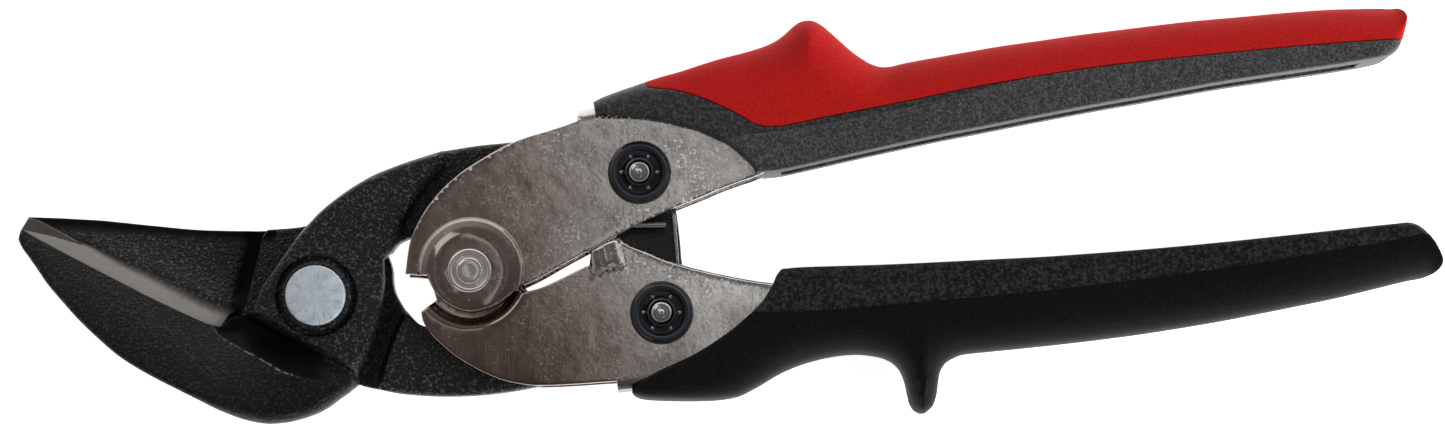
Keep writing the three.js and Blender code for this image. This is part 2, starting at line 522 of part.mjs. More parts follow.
// border of the upper grip, skin above and core below
const BORDER_U = [
  [59.79, 38.2], [64.39, 37.54], [68.55, 36.47], [72.72, 34.84], [76.87, 32.79], [79.01, 31.49],
  [80.64, 30.87], [82.82, 30.76], [85.18, 30.98], [91.45, 32.3], [99.77, 33.94], [108.1, 35.57],
  [118.64, 37.8], [131.24, 40.03], [143.86, 41.91], [156.45, 43.31], [169.07, 44.58],
  [181.66, 45.74], [196.8, 46.81],
];
const GRIP_L = [
  [57.39, -17.6], [59.94, -15.06], [62.48, -13.6], [68.3, -10.88], [72.48, -8.33], [76.66, -5.24],
  [80.84, -1.24], [82.84, 2.03], [83.57, 3.67], [84.43, 4.74], [87.87, 5.05], [95.11, 5.29],
  [102.36, 5.51], [109.6, 5.83], [116.84, 6.19], [124.08, 6.56], [131.32, 6.92], [138.57, 7.41],
  [145.81, 7.95], [153.05, 8.55], [160.29, 9.22], [167.53, 9.94], [174.78, 10.72], [182.02, 11.48],
  [189.26, 12.29], [196.5, 13.07], [198.31, 13.25], [199.22, 13.07], [200.2, 12.5], [201.5, 11.35],
  [202.8, 9.95], [203.75, 8.2], [204.35, 6.8], [204.29, 5.61], [203.38, 4.43], [202.1, 3.7],
  [199.36, 3.15], [193.89, 1.82], [186.58, 0.05], [179.28, -1.47], [171.98, -2.93],
  [164.67, -4.34], [157.37, -5.58], [150.07, -6.71], [142.76, -7.68], [135.46, -8.54],
  [128.16, -9.32], [120.85, -10.05], [117.57, -10.45], [115.74, -11.18], [114.28, -12.19],
  [113.37, -13.65], [113, -15.84], [112.64, -18.21], [111.91, -20.04], [110.63, -21.13],
  [109.53, -21.13], [108.26, -20.13], [107.53, -18.03], [106.98, -15.47], [106.07, -13.28],
  [104.61, -11.82], [102.6, -10.96], [98.95, -10.42], [95.29, -10.6], [91.64, -11.27],
  [87.99, -12.33], [84.34, -13.87], [80.69, -16.02], [78.5, -17.21], [76.67, -18.03],
  [73.38, -18.63], [69.73, -18.81], [66.08, -18.81], [62.43, -18.7], [59.51, -18.49],
  [57.87, -18.03],
];
// border of the lower grip, core above and skin below
const BORDER_L = [
  [83.69, -2.97], [91.52, -2.7], [98.96, -2.06], [111.47, -0.98], [124.17, 0.11], [138.68, 1.65],
  [153.18, 3.47], [167.69, 5.46], [180.75, 7.55], [186.73, 8.64], [193.81, 9.72], [201.06, 11.36],
];
// wide pockets for the cheeks, and narrow slots that run on towards the grip ends
const POCKET_HALF = 7.35;
const SLOT_HALF = 4.2;
const POCKET_U = [
  [46, 14], [46, 36.6], [52, 36.0], [59, 35.9], [69.8, 36.8], [81, 37.9], [97, 39.5], [124, 42.4],
  [151, 46.0], [151.6, 37.0], [124.2, 32.1], [97, 26.6], [86, 24.2], [80.8, 20.6], [80, 12],
];
const POCKET_L = [
  [48, 8], [82, 8], [88.0, 2.5], [106.1, 2.9], [124.2, 3.95], [151.2, 6.0], [151.6, -3.6],
  [124.3, -7.3], [106.2, -8.35], [97, -9.1], [88.1, -10.9], [81, -13.45], [73.7, -16.15],
  [68, -17.5], [59, -18.1], [54.6, -18.6], [48, -20],
];
const SLOT_U = [
  [80, 16], [84, 24], [124, 33.5], [188, 45.5], [190, 41.0], [186, 38], [124, 26], [90, 19],
];
const SLOT_L = [
  [80, 0], [88, -2], [124, 0], [150, 3], [190, 8], [190, 17], [150, 13], [88, 12], [80, 12],
];

// region on one side of a border, reaching past the grips to the level farY
function beyond(border, farY) {
  const startX = 40;
  const endX = 215;
  return throughPlate([
    [startX, border[0][1]], ...border, [endX, border[border.length - 1][1]],
    [endX, farY], [startX, farY],
  ]);
}

// the two parts of a grip, with the running gap taken from the lower one
function gripParts(outline, rim, border, pocket, slot) {
  const body = chamfered(outline, -GRIP_HALF, GRIP_HALF, rim);
  const hollow = union(plate(pocket, -POCKET_HALF, POCKET_HALF),
    plate(slot, -SLOT_HALF, SLOT_HALF));
  const lowered = border.map(([x, y]) => [x, y - GAP]);
  return {
    above: minus(body.intersect(beyond(border, 110)), hollow),
    below: minus(body.intersect(beyond(lowered, -60)), hollow),
  };
}
const upperGrip = gripParts(GRIP_U, { inset: 0.7, depth: 0.9 }, BORDER_U, POCKET_U, SLOT_U);
const lowerGrip = gripParts(GRIP_L, { inset: 0.4, depth: 0.6 }, BORDER_L, POCKET_L, SLOT_L);
piece('upper_grip_overmould', upperGrip.above, MATERIALS.redSkin);
piece('upper_grip_core', upperGrip.below, MATERIALS.upperCore);
piece('lower_grip_overmould', lowerGrip.below, MATERIALS.blackSkin);
piece('lower_grip_core', lowerGrip.above, MATERIALS.lowerCore);

const snips = new THREE.Group();
snips.name = 'aviation_snips';
snips.add(tool);
export default snips;
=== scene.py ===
# Aviation snips lying flat: the jaws point to -X, the handles run to +X, and the front face,
# with the bolt head, looks up +Z. Outlines and heights are millimetres from the jaw pivot axis
# and the shear plane between the blades; make_object places them in metres.
import math

import bpy
import numpy as np
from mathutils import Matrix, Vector, kdtree
from mathutils.geometry import delaunay_2d_cdt


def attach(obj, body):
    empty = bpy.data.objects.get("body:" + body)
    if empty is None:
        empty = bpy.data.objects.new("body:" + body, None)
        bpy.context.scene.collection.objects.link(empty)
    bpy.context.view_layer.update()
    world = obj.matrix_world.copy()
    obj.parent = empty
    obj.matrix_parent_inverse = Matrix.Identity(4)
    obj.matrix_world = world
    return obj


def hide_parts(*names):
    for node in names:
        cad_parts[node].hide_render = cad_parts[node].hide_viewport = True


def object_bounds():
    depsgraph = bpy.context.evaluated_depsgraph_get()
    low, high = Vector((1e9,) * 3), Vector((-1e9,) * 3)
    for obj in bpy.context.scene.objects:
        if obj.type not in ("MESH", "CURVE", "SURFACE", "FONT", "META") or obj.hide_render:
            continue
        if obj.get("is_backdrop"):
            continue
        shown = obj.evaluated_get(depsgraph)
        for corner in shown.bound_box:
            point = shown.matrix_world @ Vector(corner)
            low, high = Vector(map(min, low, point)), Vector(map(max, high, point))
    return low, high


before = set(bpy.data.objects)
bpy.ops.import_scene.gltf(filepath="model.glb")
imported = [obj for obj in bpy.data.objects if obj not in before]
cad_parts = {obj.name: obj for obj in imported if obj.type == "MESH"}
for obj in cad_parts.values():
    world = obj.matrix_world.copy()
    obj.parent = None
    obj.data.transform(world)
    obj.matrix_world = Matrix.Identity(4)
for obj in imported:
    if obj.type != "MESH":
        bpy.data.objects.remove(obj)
CAD_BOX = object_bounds()
GRID_FACTOR = 1.0    # multiplies the mesh step of every plate
SHEAR_Z = 10.5                              # height of the shear plane over the floor
UPPER_LINK = (58.66, 22.41)                 # front blade tail to upper handle
LOWER_LINK = (62.72, -3.08)                 # rear blade tail to lower handle
HANDLE_PIVOT = (27.93, 4.45)                # handle to handle
BOSS_CENTRE = (28.1, 4.6)                   # raised boss of the upper handle frame
norm = np.linalg.norm


# ------------------------------------------------------------------ outlines, (x, y)
# front blade: cutting edge from the tip to the web, then on to the hub
FRONT_EDGE = [
    (-54.54, 12.19), (-54.19, 12.39), (-50.97, 10.51), (-47.68, 8.75), (-43.66, 6.65), (-40, 4.73),
    (-35.43, 2.39), (-30.68, -0.03), (-25.37, -2.55), (-20.43, -4.78),
]
FRONT_WEB = [
    (-19.83, -4.97), (-18.06, -5.33), (-17.27, -4.93), (-16.54, -4.29), (-15.81, -3.74),
    (-14.26, -3.29), (-12.7, -2.83),
]
# ridge that bounds the hollow between jaw and hub
FRONT_RIDGE = [
    (-19.27, -5.4), (-18.13, -7.04), (-16.09, -8.31), (-13.54, -9.69), (-9.73, -11.66),
    (-6.63, -13.49), (-3.36, -14.68), (0.64, -15.77), (5.19, -16.49),
]
FRONT_BELLY = [
    (7.57, -15.98), (5.74, -17.45), (3.91, -18.73), (2.08, -20.1), (0.26, -21.1), (-1.57, -21.83),
    (-3.4, -22.38), (-5.23, -22.8), (-7.06, -23.02), (-8.88, -23.11), (-10.71, -22.93),
    (-12.54, -22.56), (-14.37, -22.02), (-18.03, -20.55), (-21.68, -18.73), (-25.34, -16.9),
    (-28.99, -15.07), (-32.65, -13.06), (-36.31, -10.68), (-39.96, -7.57), (-43.62, -4.1),
    (-47.28, -0.08), (-49.47, 2.48), (-51.66, 5.59), (-53.13, 7.6), (-54.22, 9.06), (-54.96, 10.53),
]
# raised hub of the front blade, clockwise in four runs
HUB_UPPER_LEFT = [
    (-11.93, -2.94), (-10.15, 1.66), (-8.39, 4.2), (-6.83, 6.51), (-4.79, 9.29), (-3.3, 11.34),
    (-1.74, 13.1), (0.7, 15.65), (4.33, 18.56), (7.97, 20.92), (11.6, 22.74),
]
HUB_ON_TAIL = [
    (15.24, 24.19), (18.87, 25.28), (22.5, 26.19), (22.41, 25.17), (21.89, 24.24), (18.76, 20.48),
    (15.64, 15.47), (13.42, 10.2),
]
HUB_RIGHT = [(12.07, 6.74), (12.2, 2.02), (11.24, -3.61), (9.38, -9.56), (7.49, -13.97)]
HUB_LOWER = [(1.79, -10.83), (-3.3, -7.79), (-8.39, -4.98)]
# tail of the front blade: upper edge outward, lower edge back
FRONT_TAIL_UPPER = [
    (22.29, 26.48), (25.94, 27.21), (29.59, 27.76), (33.24, 28.12), (36.89, 28.49), (44.19, 29.03),
    (51.49, 29.76),
]
FRONT_TAIL_LOWER = [
    (51.49, 15.35), (44.19, 14.98), (36.89, 14.62), (29.59, 14.25), (24.12, 13.8), (19.56, 12.61),
    (16.82, 10.97), (14.63, 9.87), (13.35, 8.23),
]
# rear blade, clockwise from the tip
REAR_BACK = [
    (-54.73, 12.23), (-53.26, 14.79), (-47.4, 14.61), (-43.74, 14.43), (-40.08, 14.24),
    (-36.42, 13.88), (-32.76, 13.51), (-29.1, 13.15), (-25.44, 12.78), (-21.78, 12.52),
    (-18.12, 12.41), (-14.46, 12.36), (-10.44, 12.41),
]
REAR_HUB_UPPER = [
    (-7.14, 12.6), (-3.48, 12.96), (0.18, 13.7), (4.75, 13.51), (8.6, 11.68), (11.71, 8.94),
    (13.17, 5.83), (13.54, 2.35), (14.09, 0.52), (15.55, -2.04),
]
REAR_TAIL_UPPER = [
    (15.72, -2.17), (18.83, -5.09), (23.2, -5.64), (26.85, -5.45), (31.42, -4.72), (36.89, -3.45),
    (44.19, -1.16), (51.49, 1.48),
]
REAR_TAIL_LOWER = [
    (51.36, -12.58), (45.86, -14.69), (40.35, -16.25), (36.68, -16.98), (33.02, -17.53),
    (29.35, -17.9), (25.68, -18.08), (22.01, -18.08), (18.34, -17.9), (14.67, -17.53),
    (10.63, -16.7),
]
REAR_HUB_LOWER = [
    (7.5, -15.95), (4.75, -14.49), (2.01, -12.48), (-5.31, -7.9), (-11.17, -4.24),
]
REAR_EDGE = [
    (-14.46, -4.5), (-16.9, -5.4), (-18.6, -6.15), (-19.7, -6.05), (-20.87, -5.8), (-25.44, -3.69),
    (-30.75, -1.18), (-35.51, 1.25), (-40.08, 3.59), (-43.74, 5.53), (-47.77, 7.66),
    (-51.06, 9.39), (-54.36, 11.32),
]
# joggle between the hub and tail of the rear blade
REAR_TAIL_WALL = [(16.6, -0.6), (13.72, -6.73), (12.26, -10.74), (10.61, -17.31)]
# upper edge of the ground strip on the rear blade, and the patches at its two ends
STRIP_UPPER = [
    (-53.9, 14.75), (-51.5, 14.15), (-43.8, 10.1), (-41.8, 9.3), (-36.2, 6.26), (-31.1, 3.97),
    (-26.0, 1.43), (-21.0, -1.1), (-16.2, -3.0),
]
STRIP_HEEL = [(-16.2, -3.0), (-18.2, -5.9), (-10, -8), (-5, -3)]
TIP_FACET = [
    (-55.5, 15.5), (-53.9, 14.75), (-51.5, 14.15), (-43.8, 10.1), (-42.4, 9.25), (-48.9, 11.15),
    (-54.3, 12.4), (-56, 13),
]
# cheeks of the two pressed handle frames, clockwise; their ends are inside the grips
UPPER_CHEEK = [
    (16.19, 3.98), (16.73, 8.34), (17.28, 10.7), (18.55, 13.6), (20.55, 16.78), (23.27, 19.96),
    (26.18, 22.41), (29.35, 24.5), (32.53, 26.37), (35.62, 27.95), (38.71, 29.09), (41.88, 30.02),
    (44.7, 30.94), (47.24, 31.85), (47.42, 33.94), (51.6, 34.49), (58.86, 35.21), (69.76, 36.12),
    (80.65, 37.21), (96.99, 38.84), (124.23, 41.75), (150, 45.0), (150, 37.3), (124.23, 32.67),
    (96.99, 27.04), (86.1, 24.68), (81.56, 22.59), (79.2, 21.59), (77.02, 20.87), (73.39, 19.51),
    (69.76, 17.96), (66.12, 16.51), (62.49, 14.97), (58.86, 13.24), (55.23, 11.33), (51.6, 9.43),
    (47.97, 7.52), (44.33, 5.52), (40.7, 3.44), (36.89, 1.53), (36.16, 0.82), (34.53, -0.52),
    (32.53, -1.83), (29.44, -2.79), (27.45, -2.88), (25.09, -2.19), (22.73, -0.52), (21.6, 0.71),
    (20.55, 2.71), (20.18, 3.67),
]
LOWER_CHEEK = [
    (19.09, -2.92), (21.82, -0.65), (21.09, 1.8), (20.64, 4.89), (21.27, 8.34), (23.45, 10.7),
    (27.08, 12.1), (31.26, 11.24), (33.98, 8.7), (35.07, 4.89), (35.07, 1.8), (37.07, 0.53),
    (40.7, 1.44), (44.33, 3.07), (47.4, 4.6), (49.6, 5.6), (49.9, 8.0), (52.4, 9.42),
    (55.05, 10.79), (55.59, 10.06), (57.41, 9.06), (59.95, 8.07), (62.67, 6.89), (65.4, 5.98),
    (68.3, 5.16), (73.39, 3.98), (77.93, 3.07), (81.56, 2.53), (87.91, 1.8), (106.07, 2.16),
    (124.23, 3.25), (150, 5.2), (150, -3.1), (124.23, -6.55), (106.07, -7.64), (96.99, -8.37),
    (87.91, -10.18), (80.65, -12.73), (73.39, -15.45), (67.94, -16.72), (58.86, -17.26),
    (54.87, -17.54), (54.5, -15.54), (51.6, -15.72), (47.78, -15.99), (41.79, -16.27),
    (38.71, -16.18), (34.17, -15.34), (29.72, -13.52), (25.2, -10.82), (22.18, -8.26),
    (20.73, -6.73), (19.46, -4.64),
]
# bend lines where the two cheeks of a frame join
UPPER_SPINE = [
    (47.3, 33.0), (47.42, 33.94), (51.6, 34.49), (58.86, 35.21), (69.76, 36.12), (80.65, 37.21),
    (96.99, 38.84), (124.2, 41.75),
]
LOWER_SPINE = [
    (54.87, -17.54), (58.86, -17.26), (67.94, -16.72), (73.39, -15.45), (80.65, -12.73),
    (87.91, -10.18), (96.99, -8.37),
]
LATCH_OUTLINE = [
    (54.2, 24.9), (53.2, 21.2), (54.0, 17.0), (54.4, 12.5), (55.4, 9.2), (58.0, 7.2), (61.6, 5.9),
    (64.0, 4.4), (66.3, 2.5), (67.15, -1.62), (68.1, -3.6), (73.2, -4.4), (73.66, -2.66),
    (70.7, -2.19), (71.23, 1.18), (69.6, 3.4), (67.4, 4.6), (66.4, 6.2), (66.0, 10.0),
    (65.5, 14.4), (64.6, 20.0), (63.8, 25.6), (60.8, 28.2), (57.0, 28.0),
]
LATCH_FLANGE = [
    (65.15, 15.0), (64.75, 15.3), (64.6, 14.4), (65.35, 6.1), (65.85, 6.15), (65.3, 13.4),
]
# upper grip, clockwise: outer edge, rounded end, inner edge
UPPER_GRIP_OUTER = [
    (50.22, 35.19), (51.5, 35.92), (55.15, 37.38), (58.8, 38.66), (62.44, 39.94), (66.09, 41.03),
    (69.74, 42.31), (73.39, 43.49), (77.03, 44.5), (80.68, 45.59), (82.87, 46.5), (84.69, 47.69),
    (86.15, 49.05), (87.43, 50.09), (88.89, 50.6), (90.35, 50.51), (91.8, 49.78), (93.45, 48.42),
    (95.27, 46.78), (97.09, 45.13), (98.92, 43.77), (100.74, 42.67), (102.56, 42.07),
    (104.39, 42.12), (106.21, 42.58), (109.86, 43.31), (113.51, 43.95), (117.15, 44.6),
    (124.45, 45.86), (131.74, 46.9), (139.04, 47.96), (146.33, 48.87), (153.63, 49.78),
    (160.92, 50.6), (168.22, 51.24), (175.51, 51.92), (182.81, 52.48), (188.28, 52.7),
    (195.94, 52.7),
]
UPPER_GRIP_END = [
    (197.4, 52.25), (198.22, 51.24), (198.31, 50.15), (197.95, 48.51), (197.4, 46.68),
    (196.67, 45.04), (195.7, 44.05),
]
UPPER_GRIP_INNER = [
    (193.81, 43.44), (187.9, 42.33), (180.51, 41.22), (173.12, 40.12), (165.74, 39.01),
    (158.35, 37.71), (150.96, 36.33), (143.57, 35.04), (136.18, 33.65), (128.79, 32.21),
    (121.41, 30.73), (114.02, 29.31), (106.63, 27.74), (99.24, 26.1), (91.85, 24.42),
    (84.46, 22.79), (81.2, 22.45), (80.3, 22.3), (79.91, 21.98), (79.18, 23.61), (77.45, 25.28),
    (74.91, 27.45), (72.3, 28.72), (69.76, 29.86), (67.23, 30.62), (63.42, 31.51),
    (59.62, 32.2), (55.82, 32.67), (52.74, 32.91), (50.56, 33.58),
]
# line between the red and the hard part of the upper grip
RED_LINE = [
    (40, 39.9), (59.25, 39.6), (59.81, 38.03), (64.41, 37.38), (68.56, 36.31), (72.72, 34.68),
    (76.86, 32.64), (79, 31.33), (80.63, 30.72), (82.8, 30.61), (85.15, 30.83), (91.41, 32.15),
    (99.72, 33.78), (108.03, 35.41), (118.55, 37.63), (131.12, 39.86), (143.72, 41.74),
    (156.28, 43.13), (168.88, 44.4), (181.44, 45.56), (196.55, 46.63),
]
# fine groove across the hard part; the plastic is smoother above it
GRIP_GROOVE = [
    (72.2, 28.2), (73.57, 28.37), (77.9, 29.1), (81.7, 29.46), (87.85, 30.36), (96.9, 31.99),
    (105.9, 33.8), (115.0, 35.85), (121.5, 37.5), (127.6, 39.1),
]
# pocket inside the upper grip, where the frame end lies
GRIP_POCKET = [
    (84.5, 14), (84.5, 25.0), (99, 28.9), (124, 34.2), (150, 39.2), (175, 43.2), (187.6, 45.2),
    (190.0, 43.4), (192.5, 36), (124, 22),
]
# lower grip, clockwise: inner edge, rounded end, outer edge
LOWER_GRIP_INNER = [
    (57.39, -17.6), (59.94, -15.06), (62.48, -13.6), (68.3, -10.88), (72.48, -8.33),
    (76.66, -5.24), (80.84, -1.24), (82.84, 2.03), (83.57, 3.67), (84.43, 4.74), (87.87, 5.05),
    (95.11, 5.29), (102.36, 5.51), (109.6, 5.83), (116.84, 6.19), (124.08, 6.56), (131.32, 6.92),
    (138.57, 7.41), (145.81, 7.95), (153.05, 8.55), (160.29, 9.22), (167.53, 9.94),
    (174.78, 10.72), (182.02, 11.48), (189.26, 12.29), (196.5, 13.07),
]
LOWER_GRIP_END = [
    (198.31, 13.25), (199.22, 13.07), (200.2, 12.5), (201.5, 11.35), (202.8, 9.95), (203.75, 8.2),
    (204.35, 6.8), (204.29, 5.61), (203.38, 4.43), (202.1, 3.7),
]
LOWER_GRIP_OUTER = [
    (199.36, 3.15), (193.89, 1.82), (186.58, 0.05), (179.28, -1.47), (171.98, -2.93),
    (164.67, -4.34), (157.37, -5.58), (150.07, -6.71), (142.76, -7.68), (135.46, -8.54),
    (128.16, -9.32), (120.85, -10.05), (117.57, -10.45), (115.74, -11.18), (114.28, -12.19),
    (113.37, -13.65), (113, -15.84), (112.64, -18.21), (111.91, -20.04), (110.63, -21.13),
    (109.53, -21.13), (108.26, -20.13), (107.53, -18.03), (106.98, -15.47), (106.07, -13.28),
    (104.61, -11.82), (102.6, -10.96), (98.95, -10.42), (95.29, -10.6), (91.64, -11.27),
    (87.99, -12.33), (84.34, -13.87), (80.69, -16.02), (78.5, -17.21), (76.67, -18.03),
    (73.38, -18.63), (69.73, -18.81), (66.08, -18.81), (62.43, -18.7), (59.51, -18.49),
    (57.87, -18.03),
]
# line between the hard and the soft part of the lower grip
LOWER_SPLIT = [
    (83.67, -3.05), (91.49, -2.78), (98.91, -2.15), (111.4, -1.06), (124.07, 0.02),
    (138.54, 1.56), (153.02, 3.37), (167.5, 5.36), (180.53, 7.44), (186.51, 8.53),
    (193.57, 9.62), (200.81, 11.24),
]


# ------------------------------------------------------------------ plane geometry
def arr(points):
    return np.asarray(points, float)


def area(loop):
    x, y = loop[:, 0], loop[:, 1]
    return 0.5 * float(np.sum(x * np.roll(y, -1) - np.roll(x, -1) * y))


def counter_clockwise(loop):
    loop = arr(loop)
    return loop[::-1] if area(loop) < 0 else loop


def rounded_path(points, closed=True, corner=32.0, step=0.5):
    """Smooth path through points; turns sharper than `corner` degrees stay corners."""
    points = arr(points)
    count = len(points)
    is_corner = np.zeros(count, bool)
    for i in range(count):
        if not closed and i in (0, count - 1):
            is_corner[i] = True
            continue
        before, after = points[i] - points[i - 1], points[(i + 1) % count] - points[i]
        cosine = float(before @ after) / (norm(before) * norm(after) + 1e-12)
        is_corner[i] = math.degrees(math.acos(max(-1, min(1, cosine)))) > corner
    out = []
    for i in range(count if closed else count - 1):
        start, end = points[i], points[(i + 1) % count]
        before = points[i - 1 if (closed or i) else i]
        after = points[(i + 2) % count if closed else min(i + 2, count - 1)]
        if is_corner[i]:
            before = start - (end - start)
        if is_corner[(i + 1) % count]:
            after = end + (end - start)
        span = max(norm(end - start), 1e-9)
        slope_start = (end - before) / (span + max(norm(start - before), 1e-9)) * span
        slope_end = (after - start) / (span + max(norm(after - end), 1e-9)) * span
        pieces = max(1, int(round(span / step)))
        for j in range(pieces):
            t = j / pieces
            t2, t3 = t * t, t * t * t
            out.append((2 * t3 - 3 * t2 + 1) * start + (t3 - 2 * t2 + t) * slope_start
                       + (-2 * t3 + 3 * t2) * end + (t3 - t2) * slope_end)
    if not closed:
        out.append(points[-1])
    return arr(out)


def path_distance(path, x, y):
    """Unsigned distance to an open path."""
    path = arr(path)
    best = np.full(np.shape(x), 1e18)
    for (x0, y0), (x1, y1) in zip(path[:-1], path[1:]):
        ex, ey = x1 - x0, y1 - y0
        wx, wy = x - x0, y - y0
        t = np.clip((wx * ex + wy * ey) / (ex * ex + ey * ey + 1e-18), 0, 1)
        dx, dy = wx - ex * t, wy - ey * t
        best = np.minimum(best, dx * dx + dy * dy)
    return np.sqrt(best)


def signed_distance(loop, x, y):
    """Distance to a closed polygon, negative inside."""
    loop = arr(loop)
    x, y = np.asarray(x, float), np.asarray(y, float)
    distance = path_distance(np.concatenate([loop, loop[:1]]), x, y)
    inside = np.zeros(x.shape, bool)
    for (x0, y0), (x1, y1) in zip(loop, np.roll(loop, -1, 0)):
        inside ^= (((y0 > y) != (y1 > y))
                   & (x < (x1 - x0) * (y - y0) / ((y1 - y0) + 1e-18) + x0))
    return np.where(inside, -distance, distance)


def soft_min(a, b, width):
    share = np.clip(0.5 + 0.5 * (b - a) / width, 0, 1)
    return b + (a - b) * share - width * share * (1 - share)


def soft_max(a, b, width):
    return -soft_min(-a, -b, width)


def ease(t):
    t = np.clip(t, 0, 1)
    return t * t * (3 - 2 * t)


def round_over(distance, radius, depth=None):
    """Drop of a quarter-round edge at a distance in from it."""
    depth = radius if depth is None else depth
    u = np.clip(1 - np.maximum(distance, 0) / radius, 0, 1)
    return depth * (1 - np.sqrt(np.maximum(1 - u * u, 0)))


def flat(height):
    return lambda x, y: np.full(np.shape(x), float(height))


def left_normals(tangents, tiny=1e-12):
    tangents = tangents / (norm(tangents, axis=1)[:, None] + tiny)
    return np.stack([-tangents[:, 1], tangents[:, 0]], 1)


def loop_normals(loop):
    return left_normals(np.roll(loop, -1, 0) - np.roll(loop, 1, 0))


def offset_ring(loop, inset):
    """Points inset to the left of a loop; those that don't land that deep inside are dropped."""
    loop = arr(loop)
    moved = loop + loop_normals(loop) * inset
    distance = signed_distance(loop, moved[:, 0], moved[:, 1])
    return moved[np.abs(distance + inset) < 0.2 * abs(inset) + 0.02]


def beside(path, offsets, step=0.45):
    """Rows of points parallel to a path, to give a crease enough vertices."""
    points = rounded_path(path, closed=False, corner=60, step=step)
    normals = left_normals(np.gradient(points, axis=0))
    return [points + normals * offset for offset in offsets]


def circle(centre, radius, count):
    a = np.arange(count) / count * 2 * math.pi
    return np.stack([centre[0] + radius * np.cos(a), centre[1] + radius * np.sin(a)], 1)


def arc(centre, radius, start_deg, end_deg, count):
    return [(centre[0] + radius * math.cos(a), centre[1] + radius * math.sin(a))
            for a in np.radians(np.linspace(start_deg, end_deg, count))]


# ------------------------------------------------------------------ meshes
def make_object(name, verts, faces, mats=(), face_mat=None, smooth_deg=40):
    """Object in metres from vertices in millimetres over the shear plane."""
    verts = arr(verts).copy()
    verts[:, 2] += SHEAR_Z
    verts *= 0.001
    mesh = bpy.data.meshes.new(name)
    mesh.from_pydata(verts.tolist(), [], [tuple(int(i) for i in face) for face in faces])
    mesh.validate()
    ob = bpy.data.objects.new(name, mesh)
    bpy.context.scene.collection.objects.link(ob)
    for mat in mats:
        mesh.materials.append(mat)
    if face_mat is not None:
        mesh.polygons.foreach_set("material_index", np.asarray(face_mat, np.int32))
    mesh.polygons.foreach_set("use_smooth", np.ones(len(mesh.polygons), bool))
    if smooth_deg is not None:
        mesh.set_sharp_from_angle(angle=math.radians(smooth_deg))
    mesh.update()
    return ob


def put(ob, body, cad):
    """Tell the frame what the object moves with and the piece it replaces."""
    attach(ob, body)
    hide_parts(cad)


def set_attribute(ob, name, values):
    layer = ob.data.attributes.new(name, "FLOAT", "POINT")
    layer.data.foreach_set("value", np.asarray(values, np.float32))


def thinned(points, cell=0.16):
    """First point in each square cell."""
    keep, seen = [], set()
    for point in points:
        key = (int(math.floor(point[0] / cell)), int(math.floor(point[1] / cell)))
        if key not in seen:
            seen.add(key)
            keep.append(point)
    return arr(keep)


